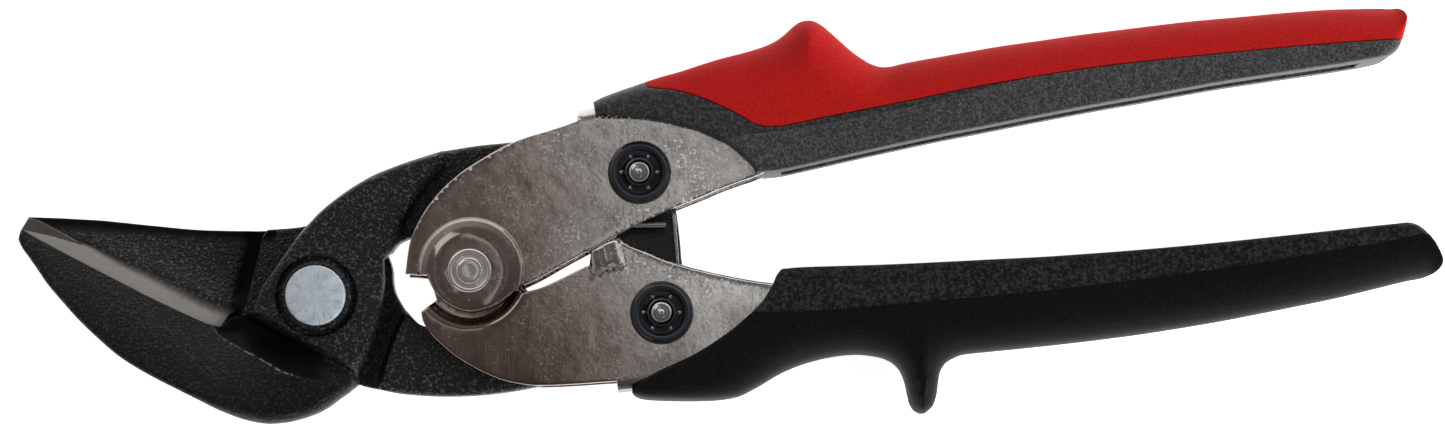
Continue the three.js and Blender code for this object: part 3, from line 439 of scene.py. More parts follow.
def plate_mesh(outline, top, bottom, r_top, r_bottom, holes=(), guides=(), step=0.9):
    """Closed mesh over a plan outline: top(x, y) and bottom(x, y) give the two faces, the rims
    are rounded by r_top and r_bottom (numbers or functions of x, y), holes are closed loops and
    guides are sets of points the mesh should pass through."""
    step *= GRID_FACTOR
    outline = counter_clockwise(outline)
    loops = [outline] + [h[::-1] if area(h) > 0 else h for h in map(arr, holes)]
    radius_top = r_top if callable(r_top) else flat(r_top)
    radius_bottom = r_bottom if callable(r_bottom) else flat(r_bottom)
    widest = max(float(np.max(radius_top(outline[:, 0], outline[:, 1]))),
                 float(np.max(radius_bottom(outline[:, 0], outline[:, 1]))), 0.15)

    def depth_inside(x, y):
        depth = -signed_distance(outline, x, y)
        for hole in loops[1:]:
            depth = np.minimum(depth, signed_distance(hole[::-1], x, y))
        return depth

    # points along the rounded rims and the guides
    rim_steps = 4
    features = []
    for k in range(1, rim_steps + 1):
        inset = widest * (1 - math.cos(k / rim_steps * math.pi / 2))
        features += [offset_ring(loop, inset) for loop in loops]
    features += [arr(guide) for guide in guides]
    feature = np.concatenate([f for f in features if len(f)])
    feature = thinned(feature[depth_inside(feature[:, 0], feature[:, 1]) > 0.02])

    # staggered grid over the rest
    low, high = outline.min(0), outline.max(0)
    rows = np.arange(low[1], high[1], step * 0.866)
    X, Y = np.meshgrid(np.arange(low[0], high[0], step), rows)
    X = X + (np.arange(len(rows)) % 2)[:, None] * step * 0.5
    X, Y = X.ravel(), Y.ravel()
    inner = depth_inside(X, Y) > max(0.35 * step, 0.2)
    boundary = np.concatenate(loops)
    placed = np.concatenate([feature, boundary])
    tree = kdtree.KDTree(len(placed))
    for i, point in enumerate(placed):
        tree.insert((point[0], point[1], 0), i)
    tree.balance()
    grid = [(x, y) for x, y in zip(X[inner], Y[inner])
            if tree.find((x, y, 0))[2] > 0.45 * step]

    points = [tuple(p) for p in boundary] + [tuple(p) for p in feature] + grid
    edges, base = [], 0
    for loop in loops:
        count = len(loop)
        edges += [(base + i, base + (i + 1) % count) for i in range(count)]
        base += count
    plan = delaunay_2d_cdt([Vector(p) for p in points], edges, [], 0, 1e-7, True)
    P = arr([(v[0], v[1]) for v in plan[0]])
    F = np.array([tuple(f) for f in plan[2]], int)
    centre = P[F].mean(1)
    F = F[depth_inside(centre[:, 0], centre[:, 1]) > 1e-4]
    a, b, c = P[F[:, 0]], P[F[:, 1]], P[F[:, 2]]
    twice = (b[:, 0] - a[:, 0]) * (c[:, 1] - a[:, 1]) - (b[:, 1] - a[:, 1]) * (c[:, 0] - a[:, 0])
    solid = np.abs(twice) > 1e-7
    F, twice = F[solid], twice[solid]
    F[twice < 0] = F[twice < 0][:, ::-1]

    # edges with no neighbour are the rims
    used_edges = dict.fromkeys((int(t[i]), int(t[(i + 1) % 3])) for t in F for i in range(3))
    rim = [e for e in used_edges if (e[1], e[0]) not in used_edges]
    x, y = P[:, 0], P[:, 1]
    depth = np.maximum(depth_inside(x, y), 0)
    for edge in rim:
        depth[list(edge)] = 0
    z_top = top(x, y) - round_over(depth, radius_top(x, y))
    z_bottom = bottom(x, y) + round_over(depth, radius_bottom(x, y))
    middle = (z_top + z_bottom) / 2
    crossed = z_top < z_bottom + 0.02
    z_top = np.where(crossed, middle + 0.01, z_top)
    z_bottom = np.where(crossed, middle - 0.01, z_bottom)
    count = len(P)
    V = np.concatenate([np.stack([x, y, z_top], 1), np.stack([x, y, z_bottom], 1)])
    faces = [tuple(t) for t in F] + [tuple(t[::-1] + count) for t in F]
    faces += [(i, i + count, j + count, j) for i, j in rim]
    used = np.zeros(len(V), bool)
    for face in faces:
        used[list(face)] = True
    renumber = np.cumsum(used) - 1
    return V[used], [tuple(int(renumber[i]) for i in face) for face in faces]


def skin(row_pairs, sides):
    """Faces between pairs of vertex rings; a ring of one vertex is a pole."""
    faces = []
    for A, B in row_pairs:
        for i in range(sides):
            j = (i + 1) % sides
            if len(A) == 1:
                faces.append((A[0], B[j], B[i]))
            elif len(B) == 1:
                faces.append((A[i], A[j], B[0]))
            else:
                faces.append((A[i], A[j], B[j], B[i]))
    return faces


def lathe_mesh(centre, profile, sides):
    """Closed turned mesh; profile [(radius, z)] runs from axis to axis or closes on itself."""
    V, rows = [], []
    for radius, z in profile:
        if radius < 1e-9:
            rows.append([len(V)])
            V.append((centre[0], centre[1], z))
            continue
        rows.append(list(range(len(V), len(V) + sides)))
        for i in range(sides):
            a = 2 * math.pi * i / sides
            V.append((centre[0] + radius * math.cos(a), centre[1] + radius * math.sin(a), z))
    pairs = list(zip(rows[:-1], rows[1:]))
    if profile[0][0] > 1e-9:
        pairs.append((rows[-1], rows[0]))
    F = skin(pairs, sides)
    V = arr(V)
    volume = 0.0
    for f in F:
        for k in range(1, len(f) - 1):
            volume += float(np.dot(V[f[0]], np.cross(V[f[k]], V[f[k + 1]])))
    return V, ([f[::-1] for f in F] if volume < 0 else F)


def soft_profile(points, radius):
    """Rounds the corners of a turned profile."""
    points = arr(points)
    pieces = 3
    out = [points[0]]
    for before, corner, after in zip(points, points[1:], points[2:]):
        length_in, length_out = norm(before - corner), norm(after - corner)
        reach = min(radius, length_in * 0.45, length_out * 0.45)
        start = corner + (before - corner) / (length_in + 1e-12) * reach
        end = corner + (after - corner) / (length_out + 1e-12) * reach
        for j in range(pieces + 1):
            t = j / pieces
            out.append((1 - t) ** 2 * start + 2 * t * (1 - t) * corner + t * t * end)
    out.append(points[-1])
    return arr(out)


def turned_piece(cad, suffix, centre, profile, mat, body, edge_radius, sides=72):
    V, F = lathe_mesh(centre, soft_profile(profile, edge_radius), sides)
    put(make_object(cad + suffix, V, F, [mat], smooth_deg=35), body, cad)


def smooth_curve(points, step=0.5):
    """Catmull-Rom curve through points in space."""
    points = arr(points)
    last = len(points) - 1
    out = []
    for i in range(last):
        p0, p1, p2, p3 = points[max(i - 1, 0)], points[i], points[i + 1], points[min(i + 2, last)]
        pieces = max(2, int(norm(p2 - p1) / step))
        for j in range(pieces):
            t = j / pieces
            out.append(0.5 * ((2 * p1) + (-p0 + p2) * t + (2 * p0 - 5 * p1 + 4 * p2 - p3) * t * t
                              + (-p0 + 3 * p1 - 3 * p2 + p3) * t ** 3))
    out.append(points[-1])
    return arr(out)


def tube_mesh(path, radius, sides):
    """Round wire along a path that starts level, with rounded ends."""
    path = arr(path)
    tangents = np.gradient(path, axis=0)
    tangents /= norm(tangents, axis=1)[:, None]
    first, last = tangents[0], tangents[-1]
    # (centre, tangent, radius) of each ring
    rings = [(path[0] - first * radius * 0.45, first, 0.0),
             (path[0] - first * radius * 0.3, first, radius * 0.7), (path[0], first, radius)]
    rings += [(p, t, radius) for p, t in zip(path[1:-1], tangents[1:-1])]
    rings += [(path[-1], last, radius), (path[-1] + last * radius * 0.3, last, radius * 0.7),
              (path[-1] + last * radius * 0.45, last, 0.0)]
    V, rows = [], []
    across = np.cross(first, np.array([0.0, 0.0, 1.0]))
    across /= norm(across)
    for centre, tangent, ring_radius in rings:
        across = across - tangent * (across @ tangent)
        across /= norm(across)
        other = np.cross(tangent, across)
        if ring_radius < 1e-9:
            rows.append([len(V)])
            V.append(centre)
            continue
        rows.append(list(range(len(V), len(V) + sides)))
        for i in range(sides):
            a = 2 * math.pi * i / sides
            V.append(centre + ring_radius * (across * math.cos(a) + other * math.sin(a)))
    return arr(V), skin(zip(rows[:-1], rows[1:]), sides)


def wire(name, path, radius, sides, body, cad):
    V, F = tube_mesh(path, radius, sides)
    put(make_object(name, V, F, [BRIGHT], smooth_deg=None), body, cad)


def prism(loop, z_low, z_high):
    loop = counter_clockwise(loop)
    n = len(loop)
    V = [(x, y, z) for z in (z_low, z_high) for x, y in loop]
    F = [tuple(range(n))[::-1], tuple(range(n, 2 * n))]
    F += [(i, (i + 1) % n, (i + 1) % n + n, i + n) for i in range(n)]
    return arr(V), F


def flipped(mesh):
    """Mirror image in the shear plane."""
    V = mesh[0].copy()
    V[:, 2] *= -1
    return V, [tuple(f[::-1]) for f in mesh[1]]


def merge(*parts):
    """Vertices, faces and the part number of each face."""
    V, F, part_of_face, base = [], [], [], 0
    for number, (verts, faces) in enumerate(parts):
        V.append(arr(verts))
        F += [tuple(int(i) + base for i in face) for face in faces]
        part_of_face += [number] * len(faces)
        base += len(verts)
    return np.concatenate(V), F, part_of_face


def cut_pocket(ob, cutter_mesh):
    """Exact boolean difference with a closed cutter, applied to the mesh."""
    tool = make_object("slot_tool", *cutter_mesh, smooth_deg=None)
    modifier = ob.modifiers.new("slot", "BOOLEAN")
    modifier.operation = "DIFFERENCE"
    modifier.solver = "EXACT"
    modifier.object = tool
    bpy.context.view_layer.update()
    depsgraph = bpy.context.evaluated_depsgraph_get()
    mesh = bpy.data.meshes.new_from_object(ob.evaluated_get(depsgraph))
    old = ob.data
    ob.modifiers.clear()
    ob.data = mesh
    bpy.data.meshes.remove(old)
    bpy.data.objects.remove(tool)
    mesh.polygons.foreach_set("use_smooth", np.ones(len(mesh.polygons), bool))
    mesh.set_sharp_from_angle(angle=math.radians(40))


# ------------------------------------------------------------------ shader nodes
class Value:
    """Node output that can be used in arithmetic; each operation adds a math node."""

    def __init__(self, nodes, socket):
        self.nodes = nodes
        self.socket = socket

    def __add__(self, other):
        return self.nodes.math("ADD", self, other)

    def __sub__(self, other):
        return self.nodes.math("SUBTRACT", self, other)

    def __rsub__(self, other):
        return self.nodes.math("SUBTRACT", other, self)

    def __mul__(self, other):
        return self.nodes.math("MULTIPLY", self, other)

    def ramp(self, *stops):
        """Colour ramp; stops are (position, grey or colour)."""
        out = self.nodes.add("ShaderNodeValToRGB", {0: self})
        elements = out.socket.node.color_ramp.elements
        while len(elements) < len(stops):
            elements.new(0.5)
        for element, (position, colour) in zip(elements, stops):
            element.position = position
            element.color = (*(colour if isinstance(colour, tuple) else (colour,) * 3), 1)
        return out

    def rising(self, low, high):
        return self.ramp((low, 0.0), (high, 1.0))

    def falling(self, low, high):
        return self.ramp((low, 1.0), (high, 0.0))


class Nodes:
    """Short calls for building a node tree."""

    def __init__(self, tree, output_kind):
        tree.nodes.clear()
        self.tree = tree
        self.output = tree.nodes.new(output_kind)
        self.coordinates = tree.nodes.new("ShaderNodeTexCoord")

    def coordinate(self, kind="Object"):
        return Value(self, self.coordinates.outputs[kind])

    def feed(self, socket, value):
        if isinstance(value, Value):
            self.tree.links.new(value.socket, socket)
        elif isinstance(value, tuple):
            socket.default_value = value + (1,) * (len(socket.default_value) - 3)
        else:
            socket.default_value = value

    def add(self, kind, inputs, output=0, **settings):
        node = self.tree.nodes.new(kind)
        for name, value in settings.items():
            setattr(node, name, value)
        for key, value in inputs.items():
            self.feed(node.inputs[key], value)
        return Value(self, node.outputs[output])

    def finish(self, shader):
        self.feed(self.output.inputs[0], shader)

    def principled(self, inputs):
        return self.add("ShaderNodeBsdfPrincipled", inputs)

    def mix_shader(self, factor, a, b):
        return self.add("ShaderNodeMixShader", {0: factor, 1: a, 2: b})

    def math(self, operation, a, b=None, clamp=False):
        inputs = {0: a} if b is None else {0: a, 1: b}
        return self.add("ShaderNodeMath", inputs, operation=operation, use_clamp=clamp)

    def mix(self, factor, a, b, blend="MIX"):
        return self.add("ShaderNodeMix", {0: factor, 6: a, 7: b}, output=2,
                        data_type="RGBA", blend_type=blend)

    def mix_number(self, factor, a, b):
        return self.add("ShaderNodeMix", {0: factor, 2: a, 3: b}, data_type="FLOAT")

    def noise(self, scale, detail=3, roughness=0.5, vector=None):
        inputs = {"Scale": scale, "Detail": detail, "Roughness": roughness,
                  "Vector": vector or self.coordinate()}
        return self.add("ShaderNodeTexNoise", inputs, output="Fac")

    def voronoi(self, scale, feature):
        return self.add("ShaderNodeTexVoronoi", {"Scale": scale, "Vector": self.coordinate()},
                        output="Distance", feature=feature)

    def mapped(self, scale, turn):
        """Object coordinates scaled per axis and turned about Z."""
        return self.add("ShaderNodeMapping", {"Scale": scale, "Rotation": (0, 0, turn),
                                              "Vector": self.coordinate()})

    def separate(self, vector):
        x = self.add("ShaderNodeSeparateXYZ", {0: vector})
        return [Value(self, socket) for socket in x.socket.node.outputs]

    def attribute(self, name):
        return self.add("ShaderNodeAttribute", {}, output="Fac", attribute_name=name)

    def bump(self, height, strength, distance):
        return self.add("ShaderNodeBump", {"Strength": strength, "Distance": distance,
                                           "Height": height})


def new_material(name):
    material = bpy.data.materials.new(name)
    material.use_nodes = True
    return material, Nodes(material.node_tree, "ShaderNodeOutputMaterial")


# ------------------------------------------------------------------ materials
def brushed(nodes, dark, light, roughness, scale, turn, stretch):
    """Ground steel shader with marks drawn out along one direction."""
    grain = nodes.noise(scale=scale, detail=3, roughness=0.6,
                        vector=nodes.mapped(scale=(1.0, stretch, 1.0), turn=turn))
    return nodes.principled({
        "Metallic": 0.55, "Base Color": nodes.mix(grain, dark, light),
        "Roughness": nodes.mix_number(grain, *roughness),
        "Normal": nodes.bump(grain, strength=0.3, distance=0.00003)})


def coat_material():
    """Black coated forging: pebbled grain with painted glints; the mesh attributes mark smooth
    areas (drawn darker: painted shade in the front hollow and beside the rear wall), a ridge
    painted as bright uncoated steel for its highlight, and ground areas."""
    material, nodes = new_material("coat_forged")
    smooth, wear, ground, facet = map(nodes.attribute, ("smooth", "wear", "ground", "facet"))
    grain = nodes.noise(scale=1900, detail=2, roughness=0.55)
    pebble = nodes.voronoi(scale=2600, feature="SMOOTH_F1")
    cloud = nodes.noise(scale=55)
    graininess = 1.0 - smooth * 0.88
    height = (grain * 0.9 + pebble * 0.5) * graininess
    colour = nodes.mix(cloud.rising(0.3, 0.7), (0.0045, 0.0042, 0.0042),
                       (0.0085, 0.0080, 0.0078))
    # painted glints: bright flecks on the grain, mixed into the colour
    glint_specks = grain.rising(0.545, 0.66) * graininess * 0.6
    colour = nodes.mix(glint_specks, colour, (0.115, 0.112, 0.113))
    # smooth areas are drawn darker: painted shade in the front hollow and a painted shadow beside
    # the rear wall; the jaws are darker too
    colour = nodes.mix(smooth, colour, (0.0026, 0.0024, 0.0023))
    pebbled_roughness = nodes.mix_number(nodes.noise(scale=420, detail=2), 0.26, 0.44)
    coat = nodes.principled({
        "Base Color": colour,
        "Roughness": nodes.mix_number(smooth, pebbled_roughness, 0.5),
        "Specular IOR Level": nodes.mix_number(smooth, 0.46, 0.10),
        "Normal": nodes.bump(height, strength=1.0, distance=0.00038)})

    strip = brushed(nodes, dark=(0.34, 0.32, 0.30), light=(0.66, 0.625, 0.59),
                    roughness=(0.40, 0.52), scale=420, turn=1.05, stretch=22.0)
    # painted reflection: the tip facet's steel is dark brown for the darker reflection at its
    # different angle
    tip = brushed(nodes, dark=(0.05, 0.036, 0.028), light=(0.22, 0.18, 0.155),
                  roughness=(0.40, 0.55), scale=520, turn=2.66, stretch=30.0)
    highlight_steel = brushed(nodes, dark=(0.16, 0.15, 0.14), light=(0.60, 0.57, 0.54),
                   roughness=(0.35, 0.5), scale=900, turn=0.0, stretch=1.0)
    # ragged border between the coat and the ground steel
    ragged = ground + (nodes.noise(scale=900, detail=3, roughness=0.6) - 0.5) * 0.16
    ground_mask = (ragged.ramp((0.06, 0.0), (0.35, 0.06), (0.6, 0.25), (0.8, 0.58), (1.0, 1.0))
                   * ground.rising(0.02, 0.08))
    steel = nodes.mix_shader(facet.rising(0.4, 0.6), strip, tip)
    shader = nodes.mix_shader(ground_mask, coat, steel)
    # painted highlight along the front jaw's ridge, in patches of bright uncoated steel
    patchy_ridge_highlight = wear * nodes.noise(scale=1300, detail=3, roughness=0.7).rising(0.38, 0.62)
    nodes.finish(nodes.mix_shader(patchy_ridge_highlight.ramp((0.15, 0.0), (0.8, 0.85)), shader, highlight_steel))
    return material


def nickel_material():
    """Plated pressed sheet: mirror-like with cloudy patches, pits and fine scratches; its colour
    also carries painted reflections and painted glints.
    """
    material, nodes = new_material("nickel_plate")
    x, y, _ = nodes.separate(nodes.coordinate())
    cloud = nodes.noise(scale=75, detail=5, roughness=0.62)
    fine = nodes.noise(scale=1500, detail=2)
    ripple = nodes.noise(scale=170, detail=2)
    # two families of scratches
    marks = nodes.noise(scale=210, detail=2,
                        vector=nodes.mapped(scale=(1.0, 20.0, 1.0), turn=0.5))
    cross_marks = nodes.noise(scale=190, detail=2,
                              vector=nodes.mapped(scale=(22.0, 1.0, 1.0), turn=-0.35))
    scratches = nodes.math(
        "ADD", marks.rising(0.60, 0.70) * cloud.rising(0.45, 0.7),
        cross_marks.rising(0.63, 0.72) * nodes.noise(scale=60).rising(0.5, 0.7), clamp=True)
    pits = (nodes.voronoi(scale=620, feature="F1").falling(0.06, 0.15)
            * nodes.noise(scale=95).rising(0.45, 0.62))
    # painted reflection along the handles: brown and darker to the left, bright to the right;
    # glints, blotches and fine relief grow to the right
    along = (x + y * 0.35) * 10.0 + (cloud - 0.5) * 0.22
    colour = along.ramp((0.12, (0.52, 0.45, 0.41)), (0.36, (0.44, 0.36, 0.32)),
                        (0.50, (0.60, 0.54, 0.50)), (0.66, (0.86, 0.84, 0.82)),
                        (0.9, (0.90, 0.89, 0.87)))
    toward_right = along.ramp((0.30, 0.10), (0.52, 0.35), (0.68, 1.0))
    glint_specks = (nodes.noise(scale=1900, detail=2).rising(0.565, 0.63)
              * nodes.noise(scale=150, detail=3, roughness=0.6).rising(0.34, 0.62) * toward_right)
    blotches = nodes.noise(scale=260, detail=4, roughness=0.65).falling(0.38, 0.62)
    colour = nodes.mix(blotches * nodes.mix_number(toward_right, 0.16, 0.42), colour, (0.22, 0.18, 0.16))
    # painted reflection: darker brown toward the lower left
    low = ((y + 0.02) * 20.0).falling(0.08, 0.55) * (x * 10.0).falling(0.36, 0.62)
    colour = nodes.mix(low * 0.75, colour, (0.20, 0.13, 0.10))
    # painted reflection bands across the width, on the right
    painted_reflection_band = ((y + 0.02) * 20.0).ramp(
        (0.14, (0.55, 0.54, 0.53)), (0.32, (0.78, 0.78, 0.78)), (0.42, (1.0, 1.0, 1.0)),
        (0.55, (0.98, 0.98, 0.98)), (0.72, (0.80, 0.79, 0.78)), (1.0, (0.84, 0.83, 0.82)))
    colour = nodes.mix(along.rising(0.45, 0.62), colour,
                       nodes.mix(1.0, colour, painted_reflection_band, "MULTIPLY"))
    # pits and glints painted near white as glints
    painted_glints = nodes.math("ADD", pits * 0.55, glint_specks * 0.9, clamp=True)
    colour = nodes.mix(painted_glints, colour, (0.97, 0.96, 0.95))
    roughness = (nodes.mix_number(cloud.rising(0.3, 0.75), 0.08, 0.17)
                 + (scratches * 0.18 + (pits + glint_specks) * 0.2))
    height = (ripple * 0.8 + fine * nodes.mix_number(toward_right, 0.04, 0.26)
              + pits * 0.25 - scratches * 0.15)
    shader = nodes.principled({
        "Metallic": 1.0, "Base Color": colour, "Roughness": roughness,
        "Normal": nodes.bump(height, strength=0.5, distance=0.00009)})
    # the painted glints are less metallic than the plate
    nodes.feed(shader.socket.node.inputs["Metallic"], 1.0 - glint_specks * 0.85)
    nodes.finish(shader)
    return material


def zinc_material():
    """Zinc plated bolt: cloudy blue-grey with short radial tool marks."""
    material, nodes = new_material("zinc_plate")
    x, y, _ = nodes.separate(nodes.coordinate())
    mottle = nodes.noise(scale=520, detail=4, roughness=0.65)
    cloud = nodes.noise(scale=170)
    radius = nodes.math("SQRT", x * x + y * y)
    polar = nodes.add("ShaderNodeCombineXYZ", {0: nodes.math("ARCTAN2", y, x) * 9.0,
                                               1: radius * 420.0})
    rays = (nodes.noise(scale=1.0, detail=2, vector=polar).rising(0.58, 0.64)
            * radius.rising(0.0022, 0.0032))
    colour = nodes.mix(mottle.rising(0.35, 0.7), (0.50, 0.56, 0.61), (0.74, 0.80, 0.85))
    colour = nodes.mix(cloud * 0.4, colour, (0.60, 0.66, 0.71))
    nodes.finish(nodes.principled({
        "Metallic": 0.25,
        "Base Color": nodes.mix(rays * 0.7, colour, (0.38, 0.42, 0.46)),
        "Roughness": nodes.mix_number(mottle, 0.38, 0.55),
        "Normal": nodes.bump(mottle * 0.6 + rays * -0.5, strength=0.6, distance=0.00009)}))
    return material


def metal_material(name, dark, light, roughness, metallic=1.0, bump=0.2):
    material, nodes = new_material(name)
    cloud = nodes.noise(scale=220, detail=4, roughness=0.6)
    fine = nodes.noise(scale=1400, detail=3, roughness=0.6)
    nodes.finish(nodes.principled({
        "Metallic": metallic, "Base Color": nodes.mix(cloud, dark, light),
        "Roughness": nodes.mix_number(fine, *roughness),
        "Normal": nodes.bump(fine, strength=bump, distance=0.00005)}))
    return material


def plastic_material(name, dark, light, roughness, grain_scale, grain, specular):
    material, nodes = new_material(name)
    pebble = nodes.voronoi(scale=grain_scale, feature="SMOOTH_F1")
    fine = nodes.noise(scale=grain_scale * 1.7, detail=3, roughness=0.6)
    cloud = nodes.noise(scale=45, detail=4, roughness=0.55)
    nodes.finish(nodes.principled({
        "Base Color": nodes.mix(fine.rising(0.44, 0.66) * 0.85 + cloud * 0.15, dark, light),
        "Roughness": nodes.mix_number(fine, *roughness), "Specular IOR Level": specular,
        "Normal": nodes.bump(pebble * 0.6 + fine * 0.6, strength=grain, distance=0.00015)}))
    return material


COAT, NICKEL, ZINC = coat_material(), nickel_material(), zinc_material()
DARK = metal_material("dark_steel", dark=(0.10, 0.10, 0.105), light=(0.20, 0.20, 0.21),
                      roughness=(0.28, 0.42))
BLACK_OXIDE = metal_material("black_oxide", dark=(0.012, 0.013, 0.016),
                             light=(0.030, 0.032, 0.040), roughness=(0.13, 0.22),
                             metallic=0.3, bump=0.1)
BRIGHT = metal_material("bright_steel", dark=(0.50, 0.49, 0.48), light=(0.66, 0.65, 0.63),
                        roughness=(0.14, 0.24), bump=0.1)
TURNED = metal_material("nickel_turned", dark=(0.66, 0.62, 0.57), light=(0.90, 0.87, 0.83),
                        roughness=(0.12, 0.22), metallic=0.9, bump=0.12)
BRONZE = metal_material("bush_bronze", dark=(0.30, 0.22, 0.12), light=(0.42, 0.32, 0.18),
                        roughness=(0.4, 0.55))
LATCH_BLACK = metal_material("latch_black", dark=(0.035, 0.032, 0.030),
                             light=(0.13, 0.12, 0.115), roughness=(0.18, 0.34),
                             metallic=0.8, bump=0.9)
HARD_GREY = plastic_material("hard_plastic", dark=(0.024, 0.024, 0.0245),
                             light=(0.120, 0.120, 0.124), roughness=(0.34, 0.58),
                             grain_scale=1500, grain=1.6, specular=0.36)
HARD_BLACK = plastic_material("hard_plastic_black", dark=(0.0030, 0.0030, 0.0034),
                              light=(0.040, 0.040, 0.042), roughness=(0.40, 0.55),
                              grain_scale=1000, grain=1.0, specular=0.25)
SOFT_BLACK = plastic_material("soft_black", dark=(0.0034, 0.0034, 0.0038),
                              light=(0.0095, 0.0095, 0.0102), roughness=(0.50, 0.66),
                              grain_scale=1500, grain=0.4, specular=0.13)
SMOOTH_BLACK = plastic_material("smooth_plastic_black", dark=(0.014, 0.014, 0.0145),
                                light=(0.072, 0.072, 0.073), roughness=(0.36, 0.50),
                                grain_scale=900, grain=0.8, specular=0.40)
RED = plastic_material("soft_red", dark=(0.43, 0.011, 0.010), light=(0.58, 0.017, 0.014),
                       roughness=(0.54, 0.68), grain_scale=1500, grain=0.5, specular=0.08)


# ------------------------------------------------------------------ front blade
def build_front_blade():
    edge = rounded_path(FRONT_EDGE + FRONT_WEB, closed=False, corner=25)
    outline = counter_clockwise(rounded_path(
        FRONT_EDGE + FRONT_WEB + HUB_UPPER_LEFT + FRONT_TAIL_UPPER
        + arc(UPPER_LINK, 7.8, 100, -100, 26) + FRONT_TAIL_LOWER + HUB_RIGHT + FRONT_BELLY,
        corner=38))
    hub = rounded_path(HUB_UPPER_LEFT + HUB_ON_TAIL + HUB_RIGHT + HUB_LOWER, corner=38)
    hollow = arr(FRONT_RIDGE + [(7.7, -16.4), (7.6, -13.9)] + HUB_RIGHT[-1:] + HUB_LOWER
                 + HUB_UPPER_LEFT[:1] + FRONT_WEB[::-1])
    ridge = rounded_path(FRONT_RIDGE, closed=False, step=0.6)

    def jaw_top(x, y):
        """Bevel up from the edge to a cap height, less the hollow inside the ridge."""
        bevel = 1.0 + 0.46 * path_distance(edge, x, y)
        cap = np.interp(x, [-54, -40, -25, -10, 0, 8], [3.2, 4.4, 5.4, 6.0, 5.8, 5.3])
        z = soft_min(bevel, cap, 2.6)
        inward = np.where(signed_distance(hollow, x, y) < 0, path_distance(ridge, x, y), 0)
        blend = 0.25 + 2.6 * ease((x + 6) / 10)
        z = np.maximum(z - 0.62 * inward * inward / (inward + blend), 1.0)
        return np.where((y > -2.6) & (x > -12.4), np.where(x > 2, 3.0, 1.5), z)

    def top(x, y):
        away = signed_distance(hub, x, y)
        slope = 3.8 - 1.5 * ease((x - 6) / 4) * ease((y - 2) / 4)
        hub_top = 6.5 - soft_max(np.zeros_like(away), slope * (away + 0.3), 1.1) + 0.02
        z = soft_max(hub_top, jaw_top(x, y), 0.7)
        # counterbore round the bolt washer
        return z - 1.1 * ease((7.55 - np.hypot(x, y)) / 0.6)

    def bottom(x, y):
        # the tail steps down past the rear blade's hub
        step_down = 0.15 - 3.15 * ease((np.hypot(x, y) - 15.35) / 0.2)
        return np.where((y > 0) & (x > -2), step_down, 0.15)

    def rim(x, y):
        # keen at the cutting edge, fullest under the hub
        from_edge = ease((path_distance(edge, x, y) - 0.5) / 1.6)
        full = 1.0 + 1.6 * ease((x + 26) / 14) * ease((-y - 9) / 4)
        return 0.1 + (full - 0.1) * from_edge

    guides = [offset_ring(outline, d) for d in (0.06, 0.2, 0.45, 0.8, 1.3, 1.9, 2.6)]
    # the hub runs clockwise, so its left is outside
    guides += [hub] + [hub + loop_normals(hub) * d for d in (0.35, 0.75, 1.2, 1.8, 2.5)]
    guides += [circle((0, 0), r, 110) for r in (6.4, 6.8, 6.95, 7.1, 7.25, 7.4, 7.55, 7.8)]
    guides += [arc((0, 0), r, 20, 98, 60) for r in (15.33, 15.45, 15.57)]
    guides += beside(FRONT_RIDGE, (0, 0.22, -0.22, 0.5, -0.5, 1.0), 0.4)
    V, F = plate_mesh(outline, top, bottom, rim, 0.25,
                      holes=[circle((0, 0), 4.1, 48), circle(UPPER_LINK, 3.0, 36)],
                      guides=guides, step=0.85)
    ob = make_object("front_blade_forging", V, F, [COAT], smooth_deg=50)
    x, y, z = V.T
    from_hub = signed_distance(hub, x, y)
    # painted shade: the hollow is marked smooth so the coat draws it darker; the rest of the jaw is
    # darker too
    hollow_shade = (ease(-signed_distance(hollow, x, y) / 0.35) * ease((5.5 - x) / 7)
                 * (from_hub > 0.5) * (z > 0.5))
    on_jaw = 0.42 * (from_hub > 0.6) * (x < 6)
    set_attribute(ob, "smooth", np.maximum(hollow_shade, on_jaw))
    # painted highlight: the ridge is drawn as bright uncoated steel in patches
    painted_ridge_highlight = (np.exp(-(path_distance(ridge, x, y) / 0.2) ** 2) * ease((-1.5 - x) / 4)
              * np.interp(x, [-19, -15, -11, -7], [0.45, 0.6, 0.95, 1.0]) * (z > 0.5))
    set_attribute(ob, "wear", painted_ridge_highlight)
    put(ob, "front_blade", "front_blade")


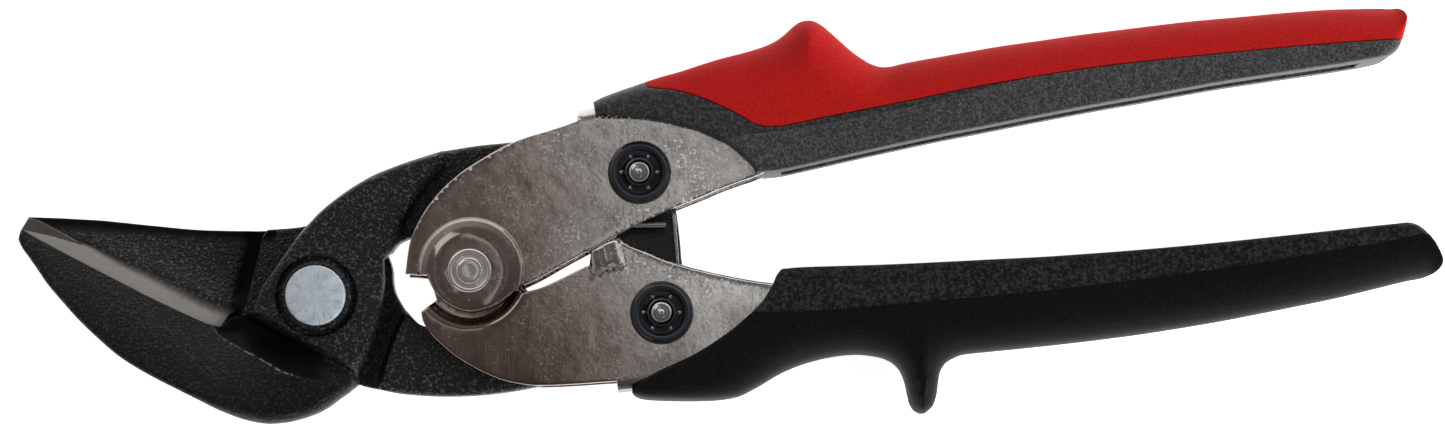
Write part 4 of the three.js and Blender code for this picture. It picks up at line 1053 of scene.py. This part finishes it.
# ------------------------------------------------------------------ rear blade
def build_rear_blade():
    outline = rounded_path(
        REAR_BACK + REAR_HUB_UPPER + REAR_TAIL_UPPER + arc(LOWER_LINK, 7.4, 128, -118, 26)
        + REAR_TAIL_LOWER + REAR_HUB_LOWER + REAR_EDGE, corner=38)
    strip_path = rounded_path(STRIP_UPPER, closed=False, step=0.6)
    above_strip = arr(STRIP_UPPER + [(-12, -3.6), (0, 0), (0, 30), (-60, 30), (-60, 16)])
    tail_zone = arr(REAR_TAIL_WALL + [(10.0, -22), (80, -22), (80, 12), (20, 6)])
    hub_wall = [(-9.0, 12.9), (-10.3, 11.2), (-14.1, -3.8), (-14.6, -6.0)]

    def past_wall(x, y):
        """Distance along x from the wall where the hub rises to the shear plane."""
        return x - np.interp(y, [-6.0, -3.8, 11.2, 12.9], [-14.6, -14.1, -10.3, -9.0])

    def top(x, y):
        above = np.where(signed_distance(above_strip, x, y) < 0,
                         path_distance(strip_path, x, y), 0)
        above = np.maximum(above - np.interp(x, [-50, -40, -16], [0.2, 0.9, 1.7]), 0)
        depth = np.interp(x, [-54, -45, -30, -15], [0.5, 1.0, 1.5, 1.9])
        z = -0.15 - depth * (1 - np.exp(-(above / 3.4) ** 1.35))
        wall = past_wall(x, y)
        z = z - 0.9 * ease((wall + 4.2) / 2.4) * ease(above / 3.0)
        z = np.where(wall > 0, -0.15, z + (-0.15 - z) * ease((wall + 0.55) / 0.55))
        # the heel of the strip falls away
        heel_z = -0.15 - 0.3 * ease(-signed_distance(STRIP_HEEL, x, y) / 1.0)
        z = np.where(wall < 0, np.minimum(z, heel_z), z)
        tail = signed_distance(tail_zone, x, y)
        return np.where(x > 5, z + 3.15 * ease((0.25 - tail) / 1.1), z)

    def bottom(x, y):
        z = -6.1 + 3.1 * ease((-x - 16) / 40)
        tail = signed_distance(tail_zone, x, y)
        return np.where(x > 5, z + 3.1 * ease((0.1 - tail) / 1.0), z)

    def rim(x, y):
        from_edge = ease((path_distance(REAR_EDGE + REAR_BACK[:1], x, y) - 0.5) / 1.5)
        return 0.06 + from_edge * (0.35 + 0.65 * ease((x - 12) / 3) - 0.06)

    guides = [offset_ring(outline, d) for d in (0.06, 0.2, 0.45, 0.8, 1.2)]
    guides.append(offset_ring(counter_clockwise(TIP_FACET), 0.1))
    # (path, offsets to its left, spacing along it)
    for path, offsets, step in (
            (STRIP_UPPER, (0, 0.3, -0.3, 0.6, 0.9, 1.2, 1.5, 1.9, 2.4, 3.4, -0.7, -1.1, -1.5), 0.6),
            (hub_wall, (0.15, 0, -0.1, -0.2, -0.3, -0.42, -0.55, -0.9, -1.5, -2.2, -3.0), 0.5),
            ([(-15.2, -1.6), (-16.2, -3.0), (-18.2, -5.9)], (-0.3, -0.12, 0, 0.12, 0.3), 0.3),
            ([(-54.6, 12.55), (-48.9, 11.15), (-42.4, 9.25)], (-0.3, -0.12, 0, 0.12, 0.3), 0.35),
            (REAR_TAIL_WALL, (-0.4, -0.25, 0, 0.2, 0.4, 0.6, 0.85, 1.1), 0.4)):
        guides += beside(path, offsets, step)
    V, F = plate_mesh(outline, top, bottom, rim, 0.9,
                      holes=[circle((0, 0), 4.1, 48), circle(LOWER_LINK, 3.0, 36)],
                      guides=guides, step=0.85)
    ob = make_object("rear_blade_forging", V, F, [COAT], smooth_deg=50)
    x, y, z = V.T
    wall = past_wall(x, y)
    fade = np.interp(x, [-44, -36, -16], [0.3, 1.1, 1.7])
    strip = np.clip((signed_distance(above_strip, x, y) + fade)
                    / (fade + np.interp(x, [-46, -36, -20], [0.1, 0.7, 1.2])), 0, 1)
    strip = (strip * (wall < -0.5) * (z > -2.6)
             * ease(signed_distance(STRIP_HEEL, x, y) / 0.3))
    strip = strip * (x < -15.7 + 0.72 * (y + 2.6))
    facet = ease(-signed_distance(TIP_FACET, x, y) / 0.12) * (z > -2)
    # painted shadow: a band left of the wall is marked smooth so the coat draws it darker, as is a
    # band along the back edge
    smooth = np.maximum(ease((wall + 3.2) / 1.2) * ease((0.1 - wall) / 0.3),
                        ease((y - 11.0 + 0.06 * (x + 40)) / 2.5)) * (z > -5)
    set_attribute(ob, "smooth", smooth * (x < -8))
    # a second layer, smoother over the whole jaw; Blender numbers its name and the coat
    # reads the first
    whole_jaw = np.maximum(smooth, 0.88 + 0.1 * ease((-x - 26) / 14))
    set_attribute(ob, "smooth", np.where(x < -8, whole_jaw, 0))
    set_attribute(ob, "ground", np.maximum(strip, facet))
    set_attribute(ob, "facet", facet)
    put(ob, "rear_blade", "rear_blade")


# ------------------------------------------------------------------ jaw pivot
def build_pivot():
    """Bolt, two washers and nut; profiles are (radius, z)."""
    shank, pitch, groove = 3.9, 0.9, 0.28
    thread = []
    for turn in range(4):
        z = -10.1 + turn * pitch
        thread += [(shank - groove, z + 0.05), (shank, z + pitch * 0.5)]
    turned_piece("pivot_bolt", "_zinc", (0, 0),
                 [(0, -10.5), (2.9, -10.5), (3.5, -10.2)] + thread
                 + [(shank, -6.2), (shank, 7.05), (5.1, 7.05), (5.42, 7.25), (5.44, 8.75),
                    (5.2, 9.12), (3.0, 9.26), (0, 9.3)],
                 ZINC, "front_blade", edge_radius=0.12, sides=96)
    turned_piece("pivot_washer_front", "_ring", (0, 0),
                 [(4.2, 6.9), (5.8, 6.85), (6.2, 6.7), (6.45, 6.3), (6.4, 5.7), (4.2, 5.7)],
                 COAT, "front_blade", edge_radius=0.15, sides=96)
    turned_piece("pivot_washer_back", "_disc", (0, 0),
                 [(4.2, -7.4), (7.7, -7.4), (8.0, -7.2), (8.0, -6.45), (7.8, -6.3), (4.2, -6.3)],
                 ZINC, "front_blade", edge_radius=0.1, sides=96)

    # hexagon with both faces chamfered at the corners
    hexagon = [(6.6 * math.cos(math.radians(30 + 60 * i)),
                6.6 * math.sin(math.radians(30 + 60 * i))) for i in range(6)]
    V, F = plate_mesh(rounded_path(hexagon, corner=20, step=0.5),
                      lambda x, y: -7.6 - np.maximum(0, np.hypot(x, y) - 5.7) * 0.4,
                      lambda x, y: -10.5 + np.maximum(0, np.hypot(x, y) - 5.55) * 0.75,
                      0.08, 0.08, holes=[circle((0, 0), 4.05, 48)],
                      guides=[circle((0, 0), r, 90) for r in (5.5, 5.56, 5.7)], step=0.6)
    put(make_object("pivot_nut_hex", V, F, [ZINC], smooth_deg=28),
        "front_blade", "pivot_nut")


# ------------------------------------------------------------------ handle frames
CHEEK_INSETS = (0.05, 0.15, 0.32, 0.55, 0.85, 1.2, 1.6, 2.1)


def spine_mesh(path):
    """Strip inside the bend line that closes the U section between the cheeks."""
    outer = rounded_path(path, closed=False, corner=60, step=0.8)
    inner = outer - left_normals(np.gradient(outer, axis=0), tiny=0.0) * 2.0
    return plate_mesh(np.concatenate([outer, inner[::-1]]), flat(5.9), flat(-5.9),
                      1.5, 1.5, step=0.8)


def place_frame(handle, front, spine):
    """Front cheek, its mirror image behind and the spine between."""
    V, F, _ = merge(front, flipped(front), spine)
    ob = make_object(handle + "_frame_sheet", V, F, [NICKEL], smooth_deg=45)
    put(ob, handle, handle + "_frame")


def build_upper_frame():
    outline = rounded_path(UPPER_CHEEK, corner=30)
    bend = rounded_path([(46.6, 33.85)] + UPPER_SPINE[1:], closed=False, step=0.8)
    # height of the boss over the cheek at each radius
    boss_radii = [0, 5.8, 6.6, 7.4, 8.2, 8.8, 9.15, 9.3, 9.7]
    boss_rise = [1.75, 1.75, 1.68, 1.45, 1.08, 0.78, 0.62, 0.48, 0.0]

    def top(x, y):
        radius = np.hypot(x - BOSS_CENTRE[0], y - BOSS_CENTRE[1])
        turn = round_over(path_distance(bend, x, y), 2.3, 2.25) * ease((x - 46.7) / 0.8)
        return 7.0 + np.interp(radius, boss_radii, boss_rise) - turn

    def bottom(x, y):
        z = top(x, y)
        return np.where(z > 7, z - 2.0, np.minimum(5.0, z - 0.1))

    def rim(x, y):
        near_bend = ease((1.2 - path_distance(bend, x, y)) / 0.6)
        return 0.3 - 0.27 * near_bend * ease((x - 47.4) / 0.5)

    guides = [circle(BOSS_CENTRE, r, 120) for r in (
        5.4, 5.9, 6.3, 6.8, 7.2, 7.6, 8.0, 8.4, 8.8, 9.1, 9.25, 9.45, 9.7, 10.0)]
    guides += [offset_ring(outline, d) for d in CHEEK_INSETS]
    front = plate_mesh(outline, top, bottom, rim, 0.25,
                       holes=[circle(UPPER_LINK, 2.98, 36), circle(HANDLE_PIVOT, 2.4, 32)],
                       guides=guides, step=1.0)
    place_frame("upper_handle", front, spine_mesh(UPPER_SPINE))


def build_lower_frame():
    outline = rounded_path(LOWER_CHEEK, corner=30)
    bend = rounded_path([(54.0, -17.56)] + LOWER_SPINE, closed=False, step=0.8)

    def stop_rise(x, y):
        """Half-round stop pressed outward across the upper edge."""
        axis_x, axis_y = 0.97, 0.24
        dx, dy = x - 52.2, y - 8.5
        across = dx * axis_x + dy * axis_y
        along = -dx * axis_y + dy * axis_x
        height = np.sqrt(np.maximum(1 - (across / 3.15) ** 2, 0))
        return (1.75 * np.maximum(height - 0.12, 0)
                * np.sqrt(np.clip((along + 4.2) / 1.8, 0, 1)))

    def pivot_radius(x, y):
        return np.hypot(x - HANDLE_PIVOT[0], y - HANDLE_PIVOT[1])

    def top(x, y):
        # set back round the handle pivot, under the boss of the upper frame
        z = np.interp(pivot_radius(x, y), [0, 8.5, 8.9, 9.4, 9.9, 10.4, 10.8],
                      [5.5, 5.5, 5.75, 6.3, 6.75, 6.97, 7.0])
        turn = round_over(path_distance(bend, x, y), 2.1, 2.05) * ease((x - 54.2) / 0.9)
        return z + stop_rise(x, y) - turn

    def bottom(x, y):
        z = top(x, y)
        under = np.where(path_distance(bend, x, y) < 2.2, np.minimum(5.0, z - 0.1), z - 2.0)
        return under + np.interp(pivot_radius(x, y), [0, 8.8, 10.4], [0.4, 0.4, 0.0])

    def rim(x, y):
        near_bend = ease((1.2 - path_distance(bend, x, y)) / 0.6)
        return (0.3 - 0.27 * near_bend * ease((x - 54.6) / 0.5)
                + 0.5 * ease((y + 4) / 3) * ease((x - 50) / 4))

    guides = [circle(HANDLE_PIVOT, r, 130) for r in (
        8.3, 8.55, 8.8, 9.1, 9.4, 9.7, 10.0, 10.3, 10.6, 10.9)]
    guides += [offset_ring(outline, d) for d in CHEEK_INSETS]
    # fine grid over the stop
    X, Y = np.meshgrid(np.arange(48.2, 57.2, 0.24), np.arange(3.8, 11.6, 0.3))
    guides.append(np.stack([X.ravel(), Y.ravel()], 1))
    front = plate_mesh(outline, top, bottom, rim, 0.25,
                       holes=[circle(LOWER_LINK, 2.98, 36), circle(HANDLE_PIVOT, 2.75, 32)],
                       guides=guides, step=1.0)
    place_frame("lower_handle", front, spine_mesh(LOWER_SPINE[::-1]))


# ------------------------------------------------------------------ rivets, pins, retainers
# profiles, (radius, z)
RIVET_HEAD = [
    (0, 10.02), (1.2, 10.12), (1.9, 10.1), (2.3, 9.92), (2.5, 9.6), (2.7, 9.35), (2.95, 9.33),
    (3.2, 9.55), (3.5, 9.74), (3.8, 9.68), (4.0, 9.42), (4.05, 9.05), (2.2, 9.0),
]
LINK_PIN = [
    (0, -9.1), (1.2, -9.15), (3.6, -9.38), (4.7, -9.1), (5.15, -8.5), (5.2, -7.4), (5.05, -7.3),
    (2.9, -7.3), (2.9, 7.05), (1.98, 7.1), (1.98, 8.8), (1.86, 9.15), (1.6, 9.38), (1.15, 9.55),
    (0.8, 9.6), (0.5, 9.7), (0.25, 9.93), (0, 10.0),
]
RETAINER = [
    (3.0, 7.45), (4.3, 7.3), (5.3, 7.25), (5.75, 7.3), (5.72, 7.75), (5.55, 8.3), (5.25, 8.85),
    (4.8, 9.12), (4.35, 8.95), (4.1, 8.5), (3.9, 8.0), (3.5, 7.95), (2.95, 8.1), (2.7, 8.55),
    (2.55, 9.05), (2.3, 9.15), (2.12, 8.95), (2.12, 7.55),
]
RETAINER_GLINT = [(0, 7.7), (0.42, 7.75), (0.45, 8.0), (0.36, 8.16), (0.2, 8.24), (0, 8.26)]
FRONT_SPACER = [(3.05, 3.3), (4.1, 3.3), (4.2, 3.4), (4.2, 4.6), (4.1, 4.7), (3.05, 4.7)]
BACK_SPACER = [(r, -z) for r, z in FRONT_SPACER[::-1]]


def build_retainer(side, centre):
    """Ring with a raised collar and six bright steel dots in its trough, painted glints where the
    prongs bend.
    """
    parts = [lathe_mesh(centre, RETAINER, 84)]
    for k in range(6):
        a = math.radians(60 * k)
        V, F = lathe_mesh((0, 0), RETAINER_GLINT, 18)
        # oval, long side pointing outward
        out, across = V[:, 0] * 1.25, V[:, 1] * 0.85
        V = np.stack([
            centre[0] + 3.3 * math.cos(a) + out * math.cos(a) - across * math.sin(a),
            centre[1] + 3.3 * math.sin(a) + out * math.sin(a) + across * math.cos(a),
            V[:, 2]], 1)
        parts.append((V, F))
    V, F, part_of_face = merge(*parts)
    face_mat = []
    for face, part in zip(F, part_of_face):
        x, y, z = V[list(face)].mean(0)
        collar = part == 0 and math.hypot(x - centre[0], y - centre[1]) < 2.7 and z > 8.5
        face_mat.append(2 if collar else min(part, 1))
    ob = make_object(side + "_link_retainer_star", V, F, [BLACK_OXIDE, BRIGHT, DARK], face_mat,
                     smooth_deg=50)
    put(ob, side + "_handle", side + "_link_retainer")


def build_pins():
    turned_piece("handle_pivot_rivet", "_head", HANDLE_PIVOT,
                 RIVET_HEAD + [(r, -z) for r, z in RIVET_HEAD[::-1]],
                 TURNED, "upper_handle", edge_radius=0.12, sides=96)
    turned_piece("handle_pivot_bush", "_tube", HANDLE_PIVOT,
                 [(2.35, -3.5), (2.9, -3.5), (3.1, -3.3), (3.1, 3.3), (2.9, 3.5), (2.35, 3.5)],
                 BRONZE, "upper_handle", edge_radius=0.06)
    for side, centre, spacer in (("upper", UPPER_LINK, "upper_link_spacer"),
                                 ("lower", LOWER_LINK, "lower_link_spacer_front")):
        body = side + "_handle"
        turned_piece(side + "_link_pin", "_steel", centre, LINK_PIN, BRIGHT, body,
                     edge_radius=0.08)
        build_retainer(side, centre)
        turned_piece(spacer, "_ring", centre, FRONT_SPACER, DARK, body,
                     edge_radius=0.05)
    turned_piece("lower_link_spacer_back", "_ring", LOWER_LINK, BACK_SPACER, DARK,
                 "lower_handle", edge_radius=0.05)
    turned_piece("latch_catch_pin", "_steel", (76.0, 1.6),
                 [(0, -4.75), (1.1, -4.75), (1.25, -4.6), (1.25, 4.6), (1.1, 4.75), (0, 4.75)],
                 BRIGHT, "lower_handle", edge_radius=0.08, sides=40)


# ------------------------------------------------------------------ springs and latch
# legs of the opening spring after the coil, (x, y, z)
UPPER_LEG = [(34.3, 4.45, 2.5), (36.5, 6.8, 2.9), (39, 9.4, 3.6), (41.2, 12.2, 3.95),
             (45.6, 20, 3.95), (50, 29.6, 3.95)]
LOWER_LEG = [(34.3, 4.45, -2.5), (36.5, 2.1, -2.9), (39, -0.5, -3.6), (41.2, -3.0, -3.95),
             (46, -7.2, -3.95), (56.5, -14.3, -3.95)]
DETENT_PATH = [(50.4, 26.6, 3.95), (50.6, 22, 3.95), (51.2, 16.5, 3.95), (52.6, 13.6, 3.95),
               (55.2, 13.1, 3.95), (59, 13.1, 3.95), (63.3, 13.1, 3.95)]


def build_opening_spring():
    radius, turns, pieces = 4.5, 1.4, 60
    for side, name, leg in ((1, "upper", UPPER_LEG), (-1, "lower", LOWER_LEG)):
        coil = []
        for i in range(pieces + 1):
            a = -side * math.pi / 4 - side * (1 - i / pieces) * turns * math.pi * 2
            coil.append((HANDLE_PIVOT[0] + radius * math.cos(a),
                         HANDLE_PIVOT[1] + radius * math.sin(a),
                         side * (0.75 + 1.6 * (i / pieces))))
        path = np.concatenate([arr(coil), smooth_curve([coil[-1]] + leg)[1:]])
        wire("opening_spring_" + name + "_wire", path, 0.6, 14, name + "_handle",
             "opening_spring_" + name)


def build_latch():
    plate = plate_mesh(rounded_path(LATCH_OUTLINE, corner=40), flat(-3.3), flat(-4.7), 0.3, 0.25,
                       holes=[circle(UPPER_LINK, 3.05, 36)], step=0.9)
    flange = plate_mesh(rounded_path(LATCH_FLANGE, corner=50, step=0.4), flat(4.4), flat(-4.5),
                        0.1, 0.1, step=0.4)
    V, F, _ = merge(plate, flange)
    # painted highlight: the flange's top edge is bright steel
    face_mat = [1 if V[list(face), 2].min() > 4.2 else 0 for face in F]
    ob = make_object("latch_folded_plate", V, F, [LATCH_BLACK, BRIGHT], face_mat, smooth_deg=40)
    put(ob, "latch", "latch")
    wire("latch_detent_wire", smooth_curve(DETENT_PATH), 0.7, 20, "upper_handle", "latch_spring")


# ------------------------------------------------------------------ grips
GRIP_HALF_THICKNESS = 10.45


def split_loop(loop, line, above, gap, step=0.6):
    """Part of a closed loop above or below a line given as y(x), shifted up by gap."""
    line = arr(line)
    height = loop[:, 1] - np.interp(loop[:, 0], line[:, 0], line[:, 1]) - gap
    keep = height > 0 if above else height < 0
    count = len(loop)
    runs = []
    for start in [i for i in range(count) if not keep[i - 1] and keep[i]]:
        k, run = start, []
        while keep[k % count] and len(run) < count:
            run.append(k % count)
            k += 1
        runs.append(run)
    run = max(runs, key=len)

    def crossing(i, j):
        return loop[i] + (loop[j] - loop[i]) * (height[i] / (height[i] - height[j]))

    first = crossing(run[0] - 1, run[0])
    last = crossing(run[-1], (run[-1] + 1) % count)
    pieces = max(2, int(abs(first[0] - last[0]) / step))
    xs = np.linspace(last[0], first[0], pieces + 1)
    smooth = rounded_path(line, closed=False, corner=70, step=0.5)
    back = np.stack([xs, np.interp(xs, smooth[:, 0], smooth[:, 1]) + gap], 1)
    back[0], back[-1] = last, first
    skip = 0 if norm(loop[run[-1]] - last) > 0.05 else 1
    return np.concatenate([loop[run], back[skip:-1]])


def clean_loop(loop, least=0.12):
    """Drops points closer than `least` to the one before."""
    out = [loop[0]]
    for point in loop[1:]:
        if norm(point - out[-1]) > least:
            out.append(point)
    if norm(out[0] - out[-1]) < least:
        out.pop()
    return arr(out)


def grip_part(loop, line, above, gap, guide_line, top, rim_radii, width, insets, extra=()):
    """Half of a grip; rim_radii are at the parting line and away from it, width is that of
    the rounded outer edge."""
    piece = clean_loop(split_loop(loop, line, above, gap))
    near_line = rounded_path(guide_line, closed=False, step=1.0)
    at_line, away = rim_radii

    def rim(x, y):
        return at_line + (away - at_line) * ease((path_distance(near_line, x, y) - 0.6) / 1.4)

    guides = [offset_ring(loop, width * share * 0.999)
              for share in (0.02, 0.06, 0.14, 0.26, 0.42, 0.62, 0.85)]
    guides += [offset_ring(piece, d) for d in insets] + list(extra)
    return plate_mesh(piece, top, lambda x, y: -top(x, y), rim, rim, guides=guides, step=1.15)


def grip_top(x, y, outer, end, stations, widths, depths, end_width, end_depth):
    """Face rounded over toward the outer edge and the end; widths and depths of the outer
    rounding are given at x stations."""
    width, depth = np.interp(x, stations, widths), np.interp(x, stations, depths)
    return np.minimum(
        GRIP_HALF_THICKNESS - round_over(path_distance(outer, x, y), width, depth),
        GRIP_HALF_THICKNESS - round_over(path_distance(end, x, y), end_width, end_depth))


def build_upper_grip():
    loop = counter_clockwise(rounded_path(
        UPPER_GRIP_OUTER + UPPER_GRIP_END + UPPER_GRIP_INNER, corner=40, step=0.7))
    outer = rounded_path(UPPER_GRIP_OUTER, closed=False, step=0.8)
    end = rounded_path(UPPER_GRIP_OUTER[-1:] + UPPER_GRIP_END, closed=False, step=0.6)
    groove = arr(GRIP_GROOVE)
    groove_start, groove_end = groove[0, 0], groove[-1, 0]

    def top(x, y):
        z = grip_top(x, y, outer, end, stations=[50, 55, 78], widths=[2.6, 3.4, 8.4],
                     depths=[2.2, 3.0, 7.6], end_width=3.0, end_depth=2.6)
        in_groove = np.exp(-(path_distance(groove, x, y) / 0.16) ** 2)
        return z - 0.16 * np.where(x < groove_end, in_groove, 0)

    def part(above, gap, away, extra=()):
        return grip_part(loop, RED_LINE, above, gap, RED_LINE[1:], top, (0.22, away), 8.4,
                         (0.06, 0.15, 0.3, 0.55), extra)

    V, F = part(above=True, gap=0.0, away=0.5)
    put(make_object("upper_grip_soft_red", V, F, [RED], smooth_deg=45),
        "upper_handle", "upper_grip_overmould")
    V, F = part(above=False, gap=-0.12, away=0.85,
                extra=beside(GRIP_GROOVE, (0, 0.16, -0.16, 0.32, -0.32), 0.35))
    face_mat = []
    for face in F:
        x, y, _ = V[list(face)].mean(0)
        above_groove = y > np.interp(x, groove[:, 0], groove[:, 1]) and x < groove_end
        face_mat.append(1 if x < groove_start or above_groove else 0)
    ob = make_object("upper_grip_hard_core", V, F, [HARD_GREY, SMOOTH_BLACK], face_mat,
                     smooth_deg=45)
    cut_pocket(ob, prism(GRIP_POCKET, -5.2, 3.0))
    put(ob, "upper_handle", "upper_grip_core")


def build_lower_grip():
    loop = counter_clockwise(rounded_path(
        LOWER_GRIP_INNER + LOWER_GRIP_END + LOWER_GRIP_OUTER, corner=40, step=0.7))
    outer = rounded_path(LOWER_GRIP_END[-1:] + LOWER_GRIP_OUTER, closed=False, step=0.6)
    end = rounded_path(LOWER_GRIP_END, closed=False, step=0.6)

    def top(x, y):
        return grip_top(x, y, outer, end, stations=[57, 64, 88], widths=[2.6, 3.6, 9.2],
                        depths=[2.2, 3.0, 7.4], end_width=1.4, end_depth=1.2)

    # (upper part or not, shift of the parting line, name, material, slot, piece replaced)
    for above, gap, name, mat, slot, cad in (
            (True, 0.0, "hard_core", HARD_BLACK, "hard_plastic", "lower_grip_core"),
            (False, -0.02, "soft_black", SOFT_BLACK, "soft_black", "lower_grip_overmould")):
        V, F = grip_part(loop, LOWER_SPLIT, above, gap,
                         [(60, LOWER_SPLIT[0][1])] + LOWER_SPLIT, top, (0.03, 0.8), 9.2,
                         (0.05, 0.12, 0.3, 0.55))
        put(make_object("lower_grip_" + name, V, F, [mat], smooth_deg=45),
            "lower_handle", cad)


# ------------------------------------------------------------------ floor, world, lights, camera
def floor_material():
    """Pale light table."""
    material, nodes = new_material("floor_pale")
    tone = nodes.mix(nodes.noise(scale=8), (0.90, 0.90, 0.90), (0.93, 0.93, 0.93))
    nodes.finish(nodes.principled({
        "Base Color": tone, "Roughness": 0.9, "Specular IOR Level": 0.1,
        "Emission Color": tone, "Emission Strength": 1.0,
        "Normal": nodes.bump(nodes.noise(scale=300, detail=2), strength=0.05,
                             distance=0.0002)}))
    return material


def build_floor():
    half, z = 3.0, -0.0004      # metres
    mesh = bpy.data.meshes.new("floor")
    mesh.from_pydata([(-half, -half, z), (half, -half, z), (half, half, z), (-half, half, z)],
                     [], [(0, 1, 2, 3)])
    ob = bpy.data.objects.new("floor", mesh)
    bpy.context.scene.collection.objects.link(ob)
    mesh.materials.append(floor_material())
    ob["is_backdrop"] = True


def build_world():
    """Dim warm ceiling with a bright patch to its right, and bright walls all round."""
    world = bpy.data.worlds.new("studio")
    bpy.context.scene.world = world
    world.use_nodes = True
    nodes = Nodes(world.node_tree, "ShaderNodeOutputWorld")
    x, y, z = nodes.separate(nodes.coordinate("Generated"))
    across = x + (y - 0.05) * 0.35
    ceiling = (across + 0.5).ramp(
        (0.0, (0.30, 0.30, 0.31)), (0.25, (0.16, 0.145, 0.14)), (0.462, (0.14, 0.122, 0.115)),
        (0.498, (0.80, 0.79, 0.78)), (0.53, (0.74, 0.74, 0.74)), (0.58, (0.13, 0.13, 0.13)),
        (1.0, (0.3, 0.3, 0.3)))
    toward_back = (x * 0.1 + y) * 0.4 + 0.5
    wall = toward_back.ramp((0.1, (0.30, 0.30, 0.31)), (0.42, (0.50, 0.50, 0.51)),
                            (0.62, (0.9, 0.9, 0.89)), (0.85, (1.6, 1.59, 1.56)))
    between = toward_back.ramp((0.1, (0.10, 0.10, 0.105)), (0.9, (0.20, 0.20, 0.20)))
    sides = nodes.mix(z.rising(0.35, 0.62), wall, between)
    colour = nodes.mix(z.rising(0.86, 0.95), sides, ceiling)
    nodes.finish(nodes.add("ShaderNodeBackground", {"Color": colour, "Strength": 0.8}))


def aim(ob, location, target):
    ob.location = location
    direction = Vector(target) - Vector(location)
    ob.rotation_euler = direction.to_track_quat("-Z", "Y").to_euler()
    bpy.context.scene.collection.objects.link(ob)


def area_light(name, location, target, size, power):
    light = bpy.data.lights.new(name, "AREA")
    light.shape = "RECTANGLE"
    light.size, light.size_y = size
    light.energy = power
    ob = bpy.data.objects.new(name, light)
    aim(ob, location, target)
    ob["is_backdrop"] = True
    return ob


def build_lights():
    key = area_light("soft_right", location=(0.95, -0.30, 0.62), target=(0.08, 0.0, 0),
                     size=(0.6, 0.5), power=11.5)
    key.visible_glossy = False
    area_light("small_left", location=(-0.42, 0.50, 0.80), target=(0.03, 0.0, 0),
               size=(0.42, 0.42), power=0.5)


def build_camera():
    """Long lens almost straight above, aimed at the shear plane."""
    scene = bpy.context.scene
    camera = bpy.data.cameras.new("camera")
    camera.lens = 122.8
    camera.sensor_width = 36.0
    camera.clip_start = 0.01
    ob = bpy.data.objects.new("camera", camera)
    middle_x = 0.07375
    aim(ob, location=(middle_x, -0.04432, 0.9105), target=(middle_x, 0.0156, SHEAR_Z / 1000))
    scene.camera = ob
    view = scene.view_settings
    view.view_transform = "Standard"
    view.look = "None"
    view.exposure = 0.0
    view.gamma = 1.0


def plain(value):
    if isinstance(value, dict):
        return {str(key): plain(item) for key, item in value.items()}
    if isinstance(value, (int, float)):
        return float(value)
    return [plain(item) for item in list(value)]


build_front_blade()
build_rear_blade()
build_pivot()
build_upper_frame()
build_lower_frame()
build_pins()
build_opening_spring()
build_latch()
build_upper_grip()
build_lower_grip()
build_floor()
build_world()
build_lights()
build_camera()

{"cad": plain(CAD_BOX), "visual": plain(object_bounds())}
